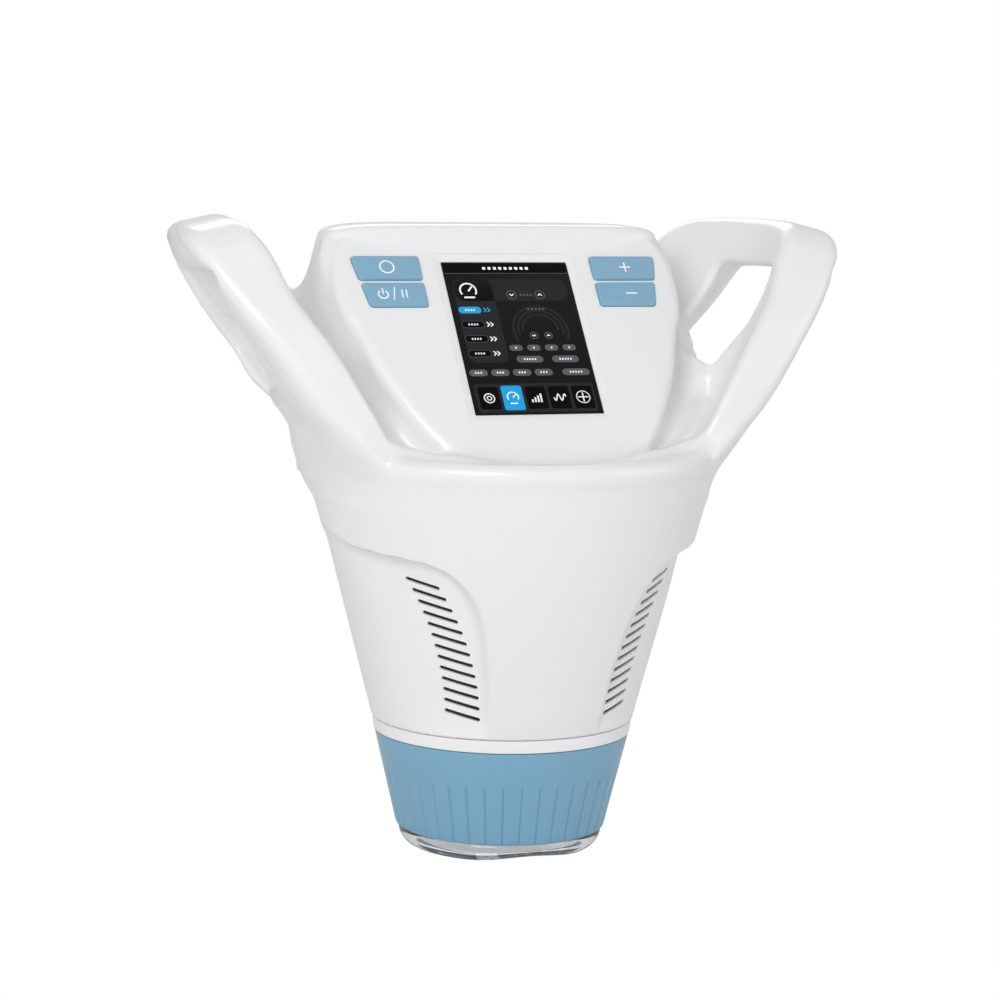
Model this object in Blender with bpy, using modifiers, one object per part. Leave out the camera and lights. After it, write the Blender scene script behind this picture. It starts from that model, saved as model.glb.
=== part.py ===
"""Two-handled vacuum and radio-frequency handpiece, standing on its clear vacuum cup.

All sizes are in metres. +X is the user's right, +Y points to the back and +Z is up.
The origin lies on the axis of the cup, at the level of the rim that it stands on.
"""

import math

import bmesh
import bpy
from mathutils import Matrix, Vector

# Clearances that all pieces share
GAP = 0.0003
HALF_GAP = GAP / 2
OVERRUN = 0.002
WELD = 0.000001

# Radii of the joint between head and housing, which follow the collar's inner radius outwards
COLLAR_INNER_RADIUS = 0.0420
NECK_WALL = 0.0035
NECK_RADIUS = COLLAR_INNER_RADIUS + NECK_WALL
FLOOR_BORE_PLAY = 0.0011
FLOOR_BORE_RADIUS = NECK_RADIUS + FLOOR_BORE_PLAY
FLOOR_LEDGE = 0.0071

# Outside stack, from the floor upwards
CUP_LIP_HEIGHT = 0.0078
COLLAR_HEIGHT = 0.0395
TRIM_HEIGHT = 0.0052
LOWER_HEIGHT = 0.1032
COLLAR_Z = CUP_LIP_HEIGHT + GAP
COLLAR_TOP_Z = COLLAR_Z + COLLAR_HEIGHT
TRIM_Z = COLLAR_TOP_Z + GAP
HOUSING_Z = TRIM_Z + TRIM_HEIGHT + GAP
SEAM_Z = HOUSING_Z + LOWER_HEIGHT

# Lower housing: a cone with a raised shield in front and shallow side scoops
WALL = 0.0028
CONE_RADIUS = FLOOR_BORE_RADIUS + FLOOR_LEDGE
CONE_SPREAD = 0.0270
FLARE_RISE = 0.0030
FLARE_START_SHARE = 0.74
FLARE_POWER = 1.7
SHIELD_RISE = 0.0042
SCOOP_DEPTH = 0.0030
FLOOR_THICKNESS = 0.0030
# Share of the height, half angle of the shield in degrees, share of its rise
SHIELD_SHARES = (
    (0.00, 24, 0.00), (0.12, 23, 0.20), (0.38, 24, 0.55), (0.52, 26, 0.75), (0.62, 31, 0.88),
    (0.69, 38, 0.97), (0.708, 48, 1.00), (0.722, 62, 1.00), (0.738, 73, 0.98), (0.77, 75, 0.92),
    (0.88, 75, 0.60), (1.00, 75, 0.29),
)
# Steps in degrees beyond the shield's edge, with the scoop's depth as a share
SCOOP_SHARES = ((3, 0.75), (9, 1.00), (18, 1.00), (30, 0.50), (42, 0.10))
SHIELD_COLUMNS = 5
BACK_COLUMNS = 6
CAVITY_STEPS = 28
CAVITY_INSET = 0.0054

# Rim and valley that the top cover adds above the seam
RIM_RISE = 0.0102
RIM_INSET = 0.0046
VALLEY_DROP = 0.0050
# Share of the rim's rise, share of its inset, on the way up
RIM_SHARES = ((0.0, 0.0), (0.5, 0.13), (0.8, 0.42), (1.0, 1.0))
# Share of the radius, share of the valley's drop, on the way in
VALLEY_SHARES = ((0.89, 0.30), (0.80, 0.75), (0.64, 1.0))

# Slanted control panel: a plate outline in its own frame, x to the right and s down the slope
PANEL_TILT = math.radians(50.66)
PANEL_Y = -0.0161
PANEL_RISE = 0.05415
PANEL_Z = SEAM_Z + PANEL_RISE
PANEL_HALF_WIDTH = 0.0740
PANEL_TOP_S = -0.0533
PANEL_BOTTOM_S = 0.0617
PANEL_DEPTH = 0.034
PANEL_WALL = 0.0030
PANEL_ROUNDING = 0.0022
# Share of the half width, share of the way from the top edge to the bottom edge
PANEL_SHARES = (
    (0.77, 0.000), (0.86, 0.004), (0.93, 0.038), (0.975, 0.105), (1.00, 0.27), (0.985, 0.35),
    (0.93, 0.445), (0.84, 0.63), (0.68, 0.83), (0.57, 0.925), (0.47, 0.975), (0.36, 1.000),
)

# Back of the panel box: sections by height, as shares of the sizes below
CORE_Z = SEAM_Z - 0.004
CORE_RISE = 0.0969
CORE_TOP_Z = SEAM_Z + CORE_RISE
CORE_FRONT_Y = -0.044
CORE_BACK_Y = 0.075
CORE_HALF_WIDTH = 0.079
CORE_SQUARENESS = 4.5
CORE_POINTS = 24
CORE_CAVITY_POINTS = 16
# Share of the height, of the way from front to back for each face, and of the half width
CORE_SHARES = (
    (0.00, 0.024, 0.997, 0.963), (0.13, 0.063, 0.982, 0.972), (0.25, 0.130, 0.966, 0.970),
    (0.37, 0.205, 0.933, 0.961), (0.49, 0.279, 0.897, 0.949), (0.66, 0.365, 0.839, 0.946),
    (0.80, 0.429, 0.787, 0.940), (0.94, 0.457, 0.736, 0.910), (0.98, 0.469, 0.717, 0.885),
    (1.00, 0.496, 0.685, 0.835),
)

# Handle loops: stations round the hole, placed in the side view, on two flared surfaces
LOOP_FRONT_Y = -0.050
LOOP_DEPTH = 0.112
LOOP_RISE = 0.0989
LOOP_OUTER_RADIUS = CONE_RADIUS + CONE_SPREAD + FLARE_RISE + GAP
LOOP_OUTER_FLARE = 0.056
LOOP_ROOT_WALL = 0.010
LOOP_INNER_RADIUS = LOOP_OUTER_RADIUS - LOOP_ROOT_WALL
LOOP_INNER_FLARE = 0.040
LOOP_ROUNDING = 0.0045
# The hole widens and sinks from the inner face to the outer one
HOLE_CENTRE_SHARE = 0.554
HOLE_CENTRE_RISE_SHARE = 0.565
HOLE_SHIFT_Y = 0.0087
HOLE_SHIFT_Z = -0.0104
HOLE_FLARE_Y = 0.437
HOLE_FLARE_Z = 0.357
# The rear bar stands further back on the outer face
REAR_SHIFT = 0.012
REAR_SHARE = 0.55
# Extra radius of the front bar and of the rear bar on the outer face
FRONT_CREST = 0.0072
FRONT_CREST_Y = -0.044
FRONT_CREST_REACH = 0.038
REAR_CREST = 0.0088
REAR_CREST_Y = 0.030
REAR_CREST_REACH = 0.026
SKIN_THICKNESS = 0.005
SKIN_FRONT_Y = -0.0370
SKIN_FRONT_RISE = 0.027
SKIN_MARGIN = 0.006
SKIN_REACH = LOOP_OUTER_RADIUS + LOOP_OUTER_FLARE + FRONT_CREST + SKIN_MARGIN
# Share of the rise, share of the flare
OUTER_FLARE_SHARES = (
    (0.0, 0.0), (0.136, 0.08), (0.22, 0.17), (0.307, 0.277), (0.454, 0.482), (0.55, 0.602),
    (0.641, 0.705), (0.77, 0.848), (0.853, 0.929), (0.914, 0.973), (1.0, 1.0),
)
INNER_FLARE_SHARES = (
    (0.0, 0.0), (0.19, 0.19), (0.34, 0.345), (0.52, 0.524), (0.63, 0.667), (0.71, 0.762),
    (0.87, 0.893), (1.0, 1.0),
)
# Share of the rise, share of the way from the skin's lowest front edge to its top one
SKIN_EDGE_SHARES = (
    (0.0, 0.0), (0.21, 0.02), (0.36, 0.08), (0.55, 0.20), (0.65, 0.33), (0.78, 0.56), (1.0, 1.0),
)
# Hole point in the middle of the wall and outline point of each station, as shares of depth and rise
LOOP_SHARES = (
    (0.329, 0.424, 0.000, 0.196), (0.308, 0.499, 0.022, 0.439), (0.291, 0.594, 0.067, 0.580),
    (0.268, 0.702, 0.129, 0.702), (0.247, 0.788, 0.192, 0.843), (0.277, 0.815, 0.285, 0.970),
    (0.446, 0.813, 0.446, 1.000), (0.670, 0.807, 0.720, 0.988), (0.772, 0.797, 0.920, 0.952),
    (0.808, 0.727, 0.995, 0.850), (0.835, 0.611, 0.995, 0.640), (0.850, 0.525, 0.964, 0.398),
    (0.786, 0.444, 0.911, 0.156), (0.661, 0.353, 0.786, 0.055), (0.500, 0.321, 0.393, 0.055),
    (0.375, 0.363, 0.054, 0.075),
)
# Share of the rise, share of the rear bar's extra radius
REAR_CREST_SHARES = (
    (0.0, 0.0), (0.085, 0.13), (0.186, 0.53), (0.338, 1.0), (0.489, 1.0), (0.64, 0.8),
    (0.762, 0.6), (0.874, 0.33), (1.0, 0.27),
)
# Share of the rise, share of the front bar's extra radius
FRONT_CREST_SHARES = (
    (0.0, 0.2), (0.075, 0.7), (0.135, 0.92), (0.227, 1.0), (0.33, 0.78), (0.43, 0.5),
    (0.53, 0.3), (0.69, 0.17), (1.0, 0.1),
)

# Vents: one column of slanted slots in each scoop
VENT_COUNT = 13
VENT_RISE = 0.0631
VENT_TOP_Z = HOUSING_Z + VENT_RISE
VENT_PITCH = 0.00445
VENT_LENGTH = 0.0145
VENT_WIDTH = 0.0015
VENT_CUT_DEPTH = 0.016
VENT_LEAN = math.radians(13)
VENT_TOP_ANGLE = math.radians(46)
VENT_BOTTOM_ANGLE = math.radians(36.5)
VENT_CURVE_POWER = 2.2

# Screen window
GLASS_WIDTH = 0.0540
GLASS_HEIGHT = 0.0740
GLASS_THICKNESS = 0.00145
WINDOW_BEVEL = 0.0036
WINDOW_BEVEL_DEPTH = 0.0014
MODULE_MARGIN = 0.0020
MODULE_THICKNESS = 0.0040

# Buttons, as outlines on the panel
BUTTON_INNER_X = 0.0368
BUTTON_OUTER_X = 0.0655
BUTTON_TAPER = 0.0019
BUTTON_TOP_S = -0.0385
BUTTON_HEIGHT = 0.0116
BUTTON_SPACING = 0.0015
BUTTON_CORNER = 0.0013
BUTTON_WIDE_CORNER = 0.0042
BUTTON_PROUD = 0.0012
BUTTON_CROWN = 0.0005
BUTTON_FLANGE = 0.0006
BUTTON_FLANGE_THICKNESS = 0.0010
BUTTON_TRAVEL = 0.0008
BUTTON_REST_PLAY = 0.0001

# Control board, its switches, bosses and screws
SWITCH_SIDE = 0.0060
SWITCH_BODY_HEIGHT = 0.0028
PLUNGER_RADIUS = 0.00175
PLUNGER_HEIGHT = 0.0007
BOARD_THICKNESS = 0.0016
BOARD_HALF_WIDTH = 0.066
BOARD_SHOULDER_HALF_WIDTH = 0.059
BOARD_TOP_S = -0.0485
BOARD_SHOULDER_S = -0.0410
BOARD_STEP_S = -0.0050
BOARD_BOTTOM_S = 0.034
BOARD_TAIL_HALF_WIDTH = 0.026
BOSS_X = 0.0450
BOSS_UPPER_S = -0.0446
BOSS_LOWER_S = -0.0092
BOSS_RADIUS = 0.0026
BOSS_BORE_RADIUS = 0.0016
BOSS_BORE_FLOOR = 0.0012
SMALL_SCREW_RADIUS = 0.0013
SMALL_SCREW_HEAD_RADIUS = 0.0025
SMALL_SCREW_HEAD_HEIGHT = 0.0015
SMALL_SCREW_LENGTH = 0.0052

# Collar: a tapered grip with ribs, a neck and three bayonet lugs
COLLAR_TOP_WALL = 0.0104
COLLAR_TOP_RADIUS = COLLAR_INNER_RADIUS + COLLAR_TOP_WALL
COLLAR_STEP = 0.0032
COLLAR_BORE_RADIUS = COLLAR_INNER_RADIUS - COLLAR_STEP
COLLAR_FOOT_WALL = 0.0031
COLLAR_BOTTOM_RADIUS = COLLAR_BORE_RADIUS + COLLAR_FOOT_WALL
COLLAR_BORE_HEIGHT = 0.0160
COLLAR_EDGE = 0.0010
RIB_COUNT = 40
RIB_SHARE = 0.64
RIB_DEPTH = 0.0007
NECK_HEIGHT = 0.0050
LUG_COUNT = 3
LUG_REACH = 0.0024
LUG_ANGLE = math.radians(20)
LUG_OVERLAP = 0.0010
RING_LIP_HEIGHT = 0.0013
TRIM_WALL = 0.0026

# Clear vacuum cup
CUP_LIP_REACH = 0.0022
CUP_LIP_RADIUS = COLLAR_BORE_RADIUS + CUP_LIP_REACH
CUP_WALL = 0.0049
CUP_TOP_Z = 0.0280
CUP_FOOT_INSET = 0.0032
CUP_FOOT_RADIUS = COLLAR_BORE_RADIUS - CUP_FOOT_INSET
CUP_FOOT_WIDTH = 0.0014
CUP_LIP_TAPER = 0.0006
CUP_BEND = 0.0032
ARCH_RISE = 0.0020
ARCH_HALF_WIDTH = 0.0250
ARCH_POINTS = 13
SEAL_Z = 0.0150
SEAL_HEIGHT = 0.0022
SEAL_THICKNESS = 0.0016
LOCK_RING_THICKNESS = 0.0020
LOCK_RING_WIDTH = 0.0075
LOCK_RING_BORE_RADIUS = COLLAR_INNER_RADIUS - LOCK_RING_WIDTH
GASKET_HEIGHT = 0.0023
GASKET_WIDTH = 0.0058
GASKET_BORE_RADIUS = COLLAR_INNER_RADIUS - GASKET_WIDTH

# Bulkhead that closes the vacuum chamber and carries the drive
BULKHEAD_FLANGE_REACH = 0.0030
BULKHEAD_FLANGE_RADIUS = FLOOR_BORE_RADIUS + BULKHEAD_FLANGE_REACH
BULKHEAD_FLANGE_THICKNESS = 0.0025
BULKHEAD_PLAY = 0.0010
BULKHEAD_RADIUS = COLLAR_INNER_RADIUS - BULKHEAD_PLAY
BULKHEAD_WALL = 0.0024
BULKHEAD_PLATE = 0.0028
BEARING_RADIUS = 0.0090
POST_OFFSET = 0.0035
POST_CIRCLE_RADIUS = BULKHEAD_RADIUS + POST_OFFSET
POST_RADIUS = 0.0034
POST_HEIGHT = 0.0640
POST_SINK = 0.0010

# Drive
SHAFT_RADIUS = 0.0040
SHAFT_LENGTH = 0.0260
SHAFT_FOOT_Z = 0.0185
GEARBOX_RADIUS = 0.0185
GEARBOX_HEIGHT = 0.0195
GEARBOX_BORE_DEPTH = 0.0100
MOTOR_RADIUS = 0.0165
MOTOR_HEIGHT = 0.0415
MOTOR_BOSS_RADIUS = 0.0060
MOTOR_BOSS_HEIGHT = 0.0020
EDGE_ROUNDING = 0.0010

# Rotor with its rolling electrodes
CARRIER_Z = 0.0200
CARRIER_THICKNESS = 0.0040
CARRIER_CLEARANCE = 0.0010
HUB_RADIUS = 0.0090
HUB_TOP_Z = 0.0305
ROLLER_COUNT = 4
ROLLER_RADIUS = 0.0060
ROLLER_HUB_SPACE = 0.0055
ROLLER_RIM_SPACE = 0.0100
ROLLER_INNER_REACH = HUB_RADIUS + ROLLER_HUB_SPACE
ROLLER_OUTER_REACH = COLLAR_BORE_RADIUS - GAP - ROLLER_RIM_SPACE
ROLLER_LENGTH = ROLLER_OUTER_REACH - ROLLER_INNER_REACH
ROLLER_CENTRE_RADIUS = (ROLLER_OUTER_REACH + ROLLER_INNER_REACH) / 2
ROLLER_AXIS_Z = 0.0170
ROLLER_ROUNDING = 0.0015
ROLLER_PLAY = 0.0008
AXLE_RADIUS = 0.0015
EAR_THICKNESS = 0.0022
EAR_WIDTH = 0.0060
EAR_DEPTH = 0.0026
WINDOW_RADIUS = 0.0045
WINDOW_OFFSET = 0.0015
WINDOW_CIRCLE_RADIUS = ROLLER_CENTRE_RADIUS + WINDOW_OFFSET
HUB_CAP_RADIUS = 0.0078
HUB_CAP_HEIGHT = 0.0042
SLIP_RING_WIDTH = 0.0036
SLIP_RING_HEIGHT = 0.0058
BRUSH_LENGTH = 0.0050
BRUSH_WIDTH = 0.0080
BRUSH_HEIGHT = 0.0054

# Light ring above the rollers
LIGHT_PORT_SPACE = 0.0150
LIGHT_WIDTH = 0.0055
LIGHT_OUTER_RADIUS = BULKHEAD_RADIUS - LIGHT_PORT_SPACE
LIGHT_INNER_RADIUS = LIGHT_OUTER_RADIUS - LIGHT_WIDTH
LENS_THICKNESS = 0.0030
LIGHT_BOARD_THICKNESS = 0.0016

# Suction line
PORT_INSET = 0.0100
PORT_CIRCLE_RADIUS = BULKHEAD_RADIUS - PORT_INSET
PORT_RADIUS = 0.0040
PORT_BORE_RADIUS = 0.0027
PORT_FLANGE_RADIUS = 0.0062
PORT_FLANGE_THICKNESS = 0.0018
PORT_RISE = 0.0106
PORT_TOP_Z = HOUSING_Z + PORT_RISE
PORT_FOOT_Z = 0.0316
HOSE_RADIUS = 0.0045
HOSE_BEND = 0.016

# Rear inlet for the hose and cable of the base unit
INLET_RISE = 0.0516
INLET_Z = HOUSING_Z + INLET_RISE
INLET_BOSS_RADIUS = 0.0180
INLET_BOSS_REACH = 0.0183
INLET_BOSS_ROOT = 0.0023
INLET_BOSS_FACE_Y = CONE_RADIUS + INLET_BOSS_REACH
INLET_BOSS_BACK_Y = CONE_RADIUS + INLET_BOSS_ROOT
INLET_RADIUS = 0.0120
INLET_FLANGE_RADIUS = 0.0160
INLET_BODY_SINK = 0.0022
INLET_BACK_Y = CONE_RADIUS - INLET_BODY_SINK
INLET_BORE_RADIUS = 0.0095
INLET_SOCKET_DEPTH = 0.0130
INLET_NIPPLE_RADIUS = 0.0035
INLET_NIPPLE_LENGTH = 0.0040
NUT_HEIGHT = 0.0032
NUT_RADIUS = 0.0160
PIN_COUNT = 8
PIN_RADIUS = 0.0006
PIN_LENGTH = 0.0040
PIN_CIRCLE_RADIUS = 0.0062
INSERT_THICKNESS = 0.0045

# Cooling fan on top of the motor
FAN_BRACKET_THICKNESS = 0.0022
FAN_SIDE = 0.0500
FAN_HEIGHT = 0.0120
FAN_BORE_RADIUS = 0.0230
FAN_CORNER = 0.0040
FAN_HUB_RADIUS = 0.0090
FAN_BASE_THICKNESS = 0.0020
FAN_STRUT_WIDTH = 0.0030
FAN_BLADE_COUNT = 5
FAN_BLADE_TIP_GAP = 0.0008
FAN_BLADE_THICKNESS = 0.0012
FAN_BLADE_HEIGHT = 0.0080
FAN_BLADE_LEAN = math.radians(38)
FAN_ROTOR_GAP = 0.0006

# Power board with its parts
POWER_BOARD_RADIUS = 0.0560
POWER_BOARD_SIDES = 16
TRANSFORMER_SIZE = (0.026, 0.024, 0.018)
TRANSFORMER_PLACE = (-0.031, 0.010)
CAPACITOR_RADIUS = 0.0060
CAPACITOR_HEIGHT = 0.0170
CAPACITOR_PLACES = ((0.034, 0.026), (0.034, 0.011), (0.034, -0.004))
SINK_WIDTH = 0.0360
SINK_LENGTH = 0.0340
SINK_BASE = 0.0030
SINK_HEIGHT = 0.0150
SINK_FIN_COUNT = 7
SINK_FIN_THICKNESS = 0.0016
SINK_PLACE = (0.003, 0.024)

# Screws that hold the handle skins to the cover
# Place of each cover screw, as shares of the loop's depth and rise
COVER_SCREW_SHARES = ((1.009, 0.627), (0.982, 0.880))
COVER_SCREW_RADIUS = 0.0016
COVER_SCREW_HEAD_RADIUS = 0.0030
COVER_SCREW_HEAD_HEIGHT = 0.0016
COVER_SCREW_LENGTH = 0.0100
COVER_SCREW_SINK = 0.0010

RING_STEPS = 32
SMALL_STEPS = 14
AXLE_STEPS = 8
INLET_STEPS = 24


def collection(name):
    """Return a new collection linked to the scene."""
    group = bpy.data.collections.new(name)
    bpy.context.scene.collection.children.link(group)
    return group


def material(name, colour, roughness, metallic=0.0, alpha=1.0):
    """Return a Principled material."""
    made = bpy.data.materials.new(name)
    made.use_nodes = True
    shader = made.node_tree.nodes["Principled BSDF"]
    shader.inputs["Base Color"].default_value = (*colour, 1.0)
    shader.inputs["Roughness"].default_value = roughness
    shader.inputs["Metallic"].default_value = metallic
    shader.inputs["Alpha"].default_value = alpha
    return made


def clear_scene():
    """Remove every object that the file starts with."""
    for item in list(bpy.data.objects):
        bpy.data.objects.remove(item, do_unlink=True)


class Workshop:
    """The collections that hold the parts and the cutters."""

    def __init__(self):
        self.parts = collection("rf_vacuum_handpiece")
        self.cutters = collection("cutters")


def add_object(name, data, group):
    """Link a new object that shows the given mesh or curve."""
    item = bpy.data.objects.new(name, data)
    group.objects.link(item)
    return item


def as_cutter(item, shop):
    """Keep an object as a hidden guide for the others."""
    for group in item.users_collection:
        group.objects.unlink(item)
    shop.cutters.objects.link(item)
    item.hide_render = True
    item.display_type = "WIRE"
    return item


def finish(item, shop, finish_material, smooth_deg=35.0):
    """Give a part its material and shading."""
    for group in item.users_collection:
        group.objects.unlink(item)
    shop.parts.objects.link(item)
    item.data.materials.clear()
    item.data.materials.append(finish_material)
    item.data.shade_smooth()
    item.data.set_sharp_from_angle(angle=math.radians(smooth_deg))
    return item


def bake(item):
    """Replace an object's data by its evaluated mesh, with caps welded and faces pointing out."""
    bpy.context.view_layer.update()
    graph = bpy.context.evaluated_depsgraph_get()
    mesh = bpy.data.meshes.new_from_object(item.evaluated_get(graph), depsgraph=graph)
    shape = bmesh.new()
    shape.from_mesh(mesh)
    bmesh.ops.remove_doubles(shape, verts=shape.verts, dist=WELD)
    bmesh.ops.recalc_face_normals(shape, faces=shape.faces)
    shape.to_mesh(mesh)
    shape.free()
    made = bpy.data.objects.new(item.name, mesh)
    made.matrix_world = item.matrix_world.copy()
    name = item.name
    group = item.users_collection[0]
    hidden = item.hide_render
    bpy.data.objects.remove(item, do_unlink=True)
    made.name = name
    group.objects.link(made)
    made.hide_render = hidden
    if hidden:
        made.display_type = "WIRE"
    return made


def move_to(item, place):
    """Set an object's world matrix and return it."""
    item.matrix_world = place
    bpy.context.view_layer.update()
    return item


def apply_place(item):
    """Write the object's matrix into its mesh, so that its origin is the world's."""
    place = item.matrix_world.copy()
    item.data.transform(place)
    if place.determinant() < 0:
        item.data.flip_normals()
    item.matrix_world = Matrix.Identity(4)
    return item


def boolean(target, tool, operation):
    """Add an exact Boolean modifier."""
    step = target.modifiers.new(operation.lower(), "BOOLEAN")
    step.operation = operation
    step.solver = "EXACT"
    step.object = tool


def cut(target, *tools):
    """Cut tools out of the target."""
    for tool in tools:
        boolean(target, tool, "DIFFERENCE")


def fuse(target, *tools):
    """Union tools with the target."""
    for tool in tools:
        boolean(target, tool, "UNION")


def interpolate(table, value):
    """Read a table of (position, value) pairs along straight runs."""
    for (low, first), (high, second) in zip(table, table[1:]):
        if value <= high:
            return first + (second - first) * max(0.0, value - low) / (high - low)
    return table[-1][1]


def loft(name, rings, group, closed=False, split=False):
    """Skin closed rings of points in order, with caps at both ends or closed on itself.

    Where asked, each four-sided face is split along the same diagonal.
    """
    shape = bmesh.new()
    loops = [[shape.verts.new(point) for point in ring] for ring in rings]
    pairs = list(zip(loops, loops[1:]))
    if closed:
        pairs.append((loops[-1], loops[0]))
    for first, second in pairs:
        for index in range(len(first)):
            after = (index + 1) % len(first)
            shape.faces.new((first[index], first[after], second[after], second[index]))
    if split:
        bmesh.ops.triangulate(shape, faces=shape.faces, quad_method="FIXED")
    if not closed:
        shape.faces.new(loops[0])
        shape.faces.new(loops[-1])
    bmesh.ops.recalc_face_normals(shape, faces=shape.faces)
    mesh = bpy.data.meshes.new(name)
    shape.to_mesh(mesh)
    shape.free()
    return add_object(name, mesh, group)


def turned(name, profile, group, steps=RING_STEPS, ring=True):
    """Turn a profile of (radius, height) points about Z; ring profiles are closed loops."""
    mesh = bpy.data.meshes.new(name)
    edges = [(index, index + 1) for index in range(len(profile) - 1)]
    if ring:
        edges.append((len(profile) - 1, 0))
    mesh.from_pydata([(radius, 0.0, height) for radius, height in profile], edges, [])
    item = add_object(name, mesh, group)
    screw = item.modifiers.new("turn", "SCREW")
    screw.steps = steps
    screw.render_steps = steps
    screw.use_merge_vertices = True
    screw.merge_threshold = WELD
    screw.use_normal_calculate = True
    return bake(item)


def disc(name, radius, low, high, group, steps=RING_STEPS, rounding=0.0):
    """Turn a plain solid disc or rod, with rounded rims where asked."""
    profile = [(0.0, high)]
    if rounding:
        profile += [(radius - rounding, high), (radius, high - rounding)]
        profile += [(radius, low + rounding), (radius - rounding, low)]
    else:
        profile += [(radius, high), (radius, low)]
    profile.append((0.0, low))
    return turned(name, profile, group, steps, ring=False)


def tube(name, inner, outer, low, high, group, steps=RING_STEPS):
    """Turn a plain ring."""
    profile = [(outer, high), (outer, low), (inner, low), (inner, high)]
    return turned(name, profile, group, steps)


def block(name, size, centre, group):
    """Make a box from its size and centre."""
    shape = bmesh.new()
    bmesh.ops.create_cube(shape, size=1.0)
    bmesh.ops.scale(shape, vec=Vector(size), verts=shape.verts)
    bmesh.ops.translate(shape, vec=Vector(centre), verts=shape.verts)
    mesh = bpy.data.meshes.new(name)
    shape.to_mesh(mesh)
    shape.free()
    return add_object(name, mesh, group)


def rounded_outline(points, radii, steps=4):
    """Round the corners of a flat outline; a corner of radius zero stays sharp."""
    result = []
    count = len(points)
    for index, (point, radius) in enumerate(zip(points, radii)):
        corner = Vector(point)
        if radius <= 0:
            result.append(corner)
            continue
        back = (Vector(points[index - 1]) - corner).normalized()
        ahead = (Vector(points[(index + 1) % count]) - corner).normalized()
        half = math.acos(max(-1.0, min(1.0, back.dot(ahead)))) / 2
        reach = radius / math.tan(half)
        centre = corner + (back + ahead).normalized() * (radius / math.sin(half))
        start = corner + back * reach - centre
        end = corner + ahead * reach - centre
        turn = start.angle_signed(end)
        for step in range(steps + 1):
            result.append(centre + Matrix.Rotation(-turn * step / steps, 2) @ start)
    return result


def plate(name, outline, low, high, group, place=None, rounding=0.0):
    """Extrude a flat outline between two heights as a filled 2D curve, then make it a mesh."""
    curve = bpy.data.curves.new(name, "CURVE")
    curve.dimensions = "2D"
    curve.fill_mode = "BOTH"
    curve.extrude = (high - low) / 2
    spline = curve.splines.new("POLY")
    spline.points.add(len(outline) - 1)
    for point, spot in zip(spline.points, outline):
        point.co = (spot[0], spot[1], 0.0, 1.0)
    spline.use_cyclic_u = True
    item = add_object(name, curve, group)
    move_to(item, (place or Matrix.Identity(4)) @ Matrix.Translation((0.0, 0.0, (low + high) / 2)))
    item = apply_place(bake(item))
    if rounding:
        bevel = item.modifiers.new("rounded edges", "BEVEL")
        bevel.width = rounding
        bevel.segments = 1
        bevel.limit_method = "ANGLE"
        bevel.angle_limit = math.radians(60)
        item = bake(item)
    return item


def mirrored(item, group):
    """Return a copy of a mesh object mirrored in X."""
    copy = add_object(item.name + "_mirrored", item.data.copy(), group)
    copy.data.transform(Matrix.Scale(-1.0, 4, (1.0, 0.0, 0.0)))
    copy.data.flip_normals()
    return copy


def joined(name, items, group):
    """Join several mesh objects into one set of separate solids, for use as one cutter."""
    shape = bmesh.new()
    for item in items:
        shape.from_mesh(item.data)
    mesh = bpy.data.meshes.new(name)
    shape.to_mesh(mesh)
    shape.free()
    for item in items:
        bpy.data.objects.remove(item, do_unlink=True)
    return add_object(name, mesh, group)


def panel_place():
    """Frame of the panel: x to the right, y down the slope, z into the body."""
    down = Vector((0.0, -math.cos(PANEL_TILT), -math.sin(PANEL_TILT)))
    inward = Vector((1.0, 0.0, 0.0)).cross(down)
    place = Matrix.Identity(4)
    place.col[1][:3] = down
    place.col[2][:3] = inward
    place.col[3][:3] = (0.0, PANEL_Y, PANEL_Z)
    return place


def body_radius(share):
    """Radius of the plain cone at a share of the lower housing's height."""
    flare = 0.0
    if share > FLARE_START_SHARE:
        flare = FLARE_RISE * ((share - FLARE_START_SHARE) / (1 - FLARE_START_SHARE)) ** FLARE_POWER
    return CONE_RADIUS + CONE_SPREAD * share + flare


def body_ring(share, edge_deg, rise_share, height):
    """One ring of the body, whose columns follow the shield's edge."""
    radius = body_radius(share)
    scoop_fade = min(1.0, share / 0.10) if edge_deg < 45 else 0.0
    half = [
        (edge_deg * step / SHIELD_COLUMNS, SHIELD_RISE * rise_share)
        for step in range(SHIELD_COLUMNS + 1)
    ]
    for step_deg, depth_share in SCOOP_SHARES:
        half.append((edge_deg + step_deg, -SCOOP_DEPTH * depth_share * scoop_fade))
    first = half[-1][0]
    for step in range(1, BACK_COLUMNS + 1):
        half.append((first + (180.0 - first) * step / BACK_COLUMNS, 0.0))
    points = []
    for angle_deg, rise in half:
        angle = math.radians(angle_deg)
        reach = radius + rise
        points.append(Vector((reach * math.sin(angle), -reach * math.cos(angle), height)))
    points += [Vector((-point.x, point.y, point.z)) for point in points[-2:0:-1]]
    return points


def body_form(name, shop):
    """Cone, shield, scoops, rim and valley as one loft."""
    rings = []
    for share, edge_deg, rise_share in SHIELD_SHARES:
        rings.append(body_ring(share, edge_deg, rise_share, HOUSING_Z + LOWER_HEIGHT * share))
    top = rings[-1]
    for up_share, in_share in RIM_SHARES[1:]:
        height = SEAM_Z + RIM_RISE * up_share
        rings.append([scaled_ring_point(point, RIM_INSET * in_share, height) for point in top])
    ridge = rings[-1]
    for radius_share, drop_share in VALLEY_SHARES:
        height = SEAM_Z + RIM_RISE - VALLEY_DROP * drop_share
        rings.append([Vector((point.x * radius_share, point.y * radius_share, height)) for point in ridge])
    return loft(name, rings, shop.cutters)


def scaled_ring_point(point, inset, height):
    """Move a ring point towards the axis by a length."""
    reach = math.hypot(point.x, point.y)
    share = (reach - inset) / reach
    return Vector((point.x * share, point.y * share, height))


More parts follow.
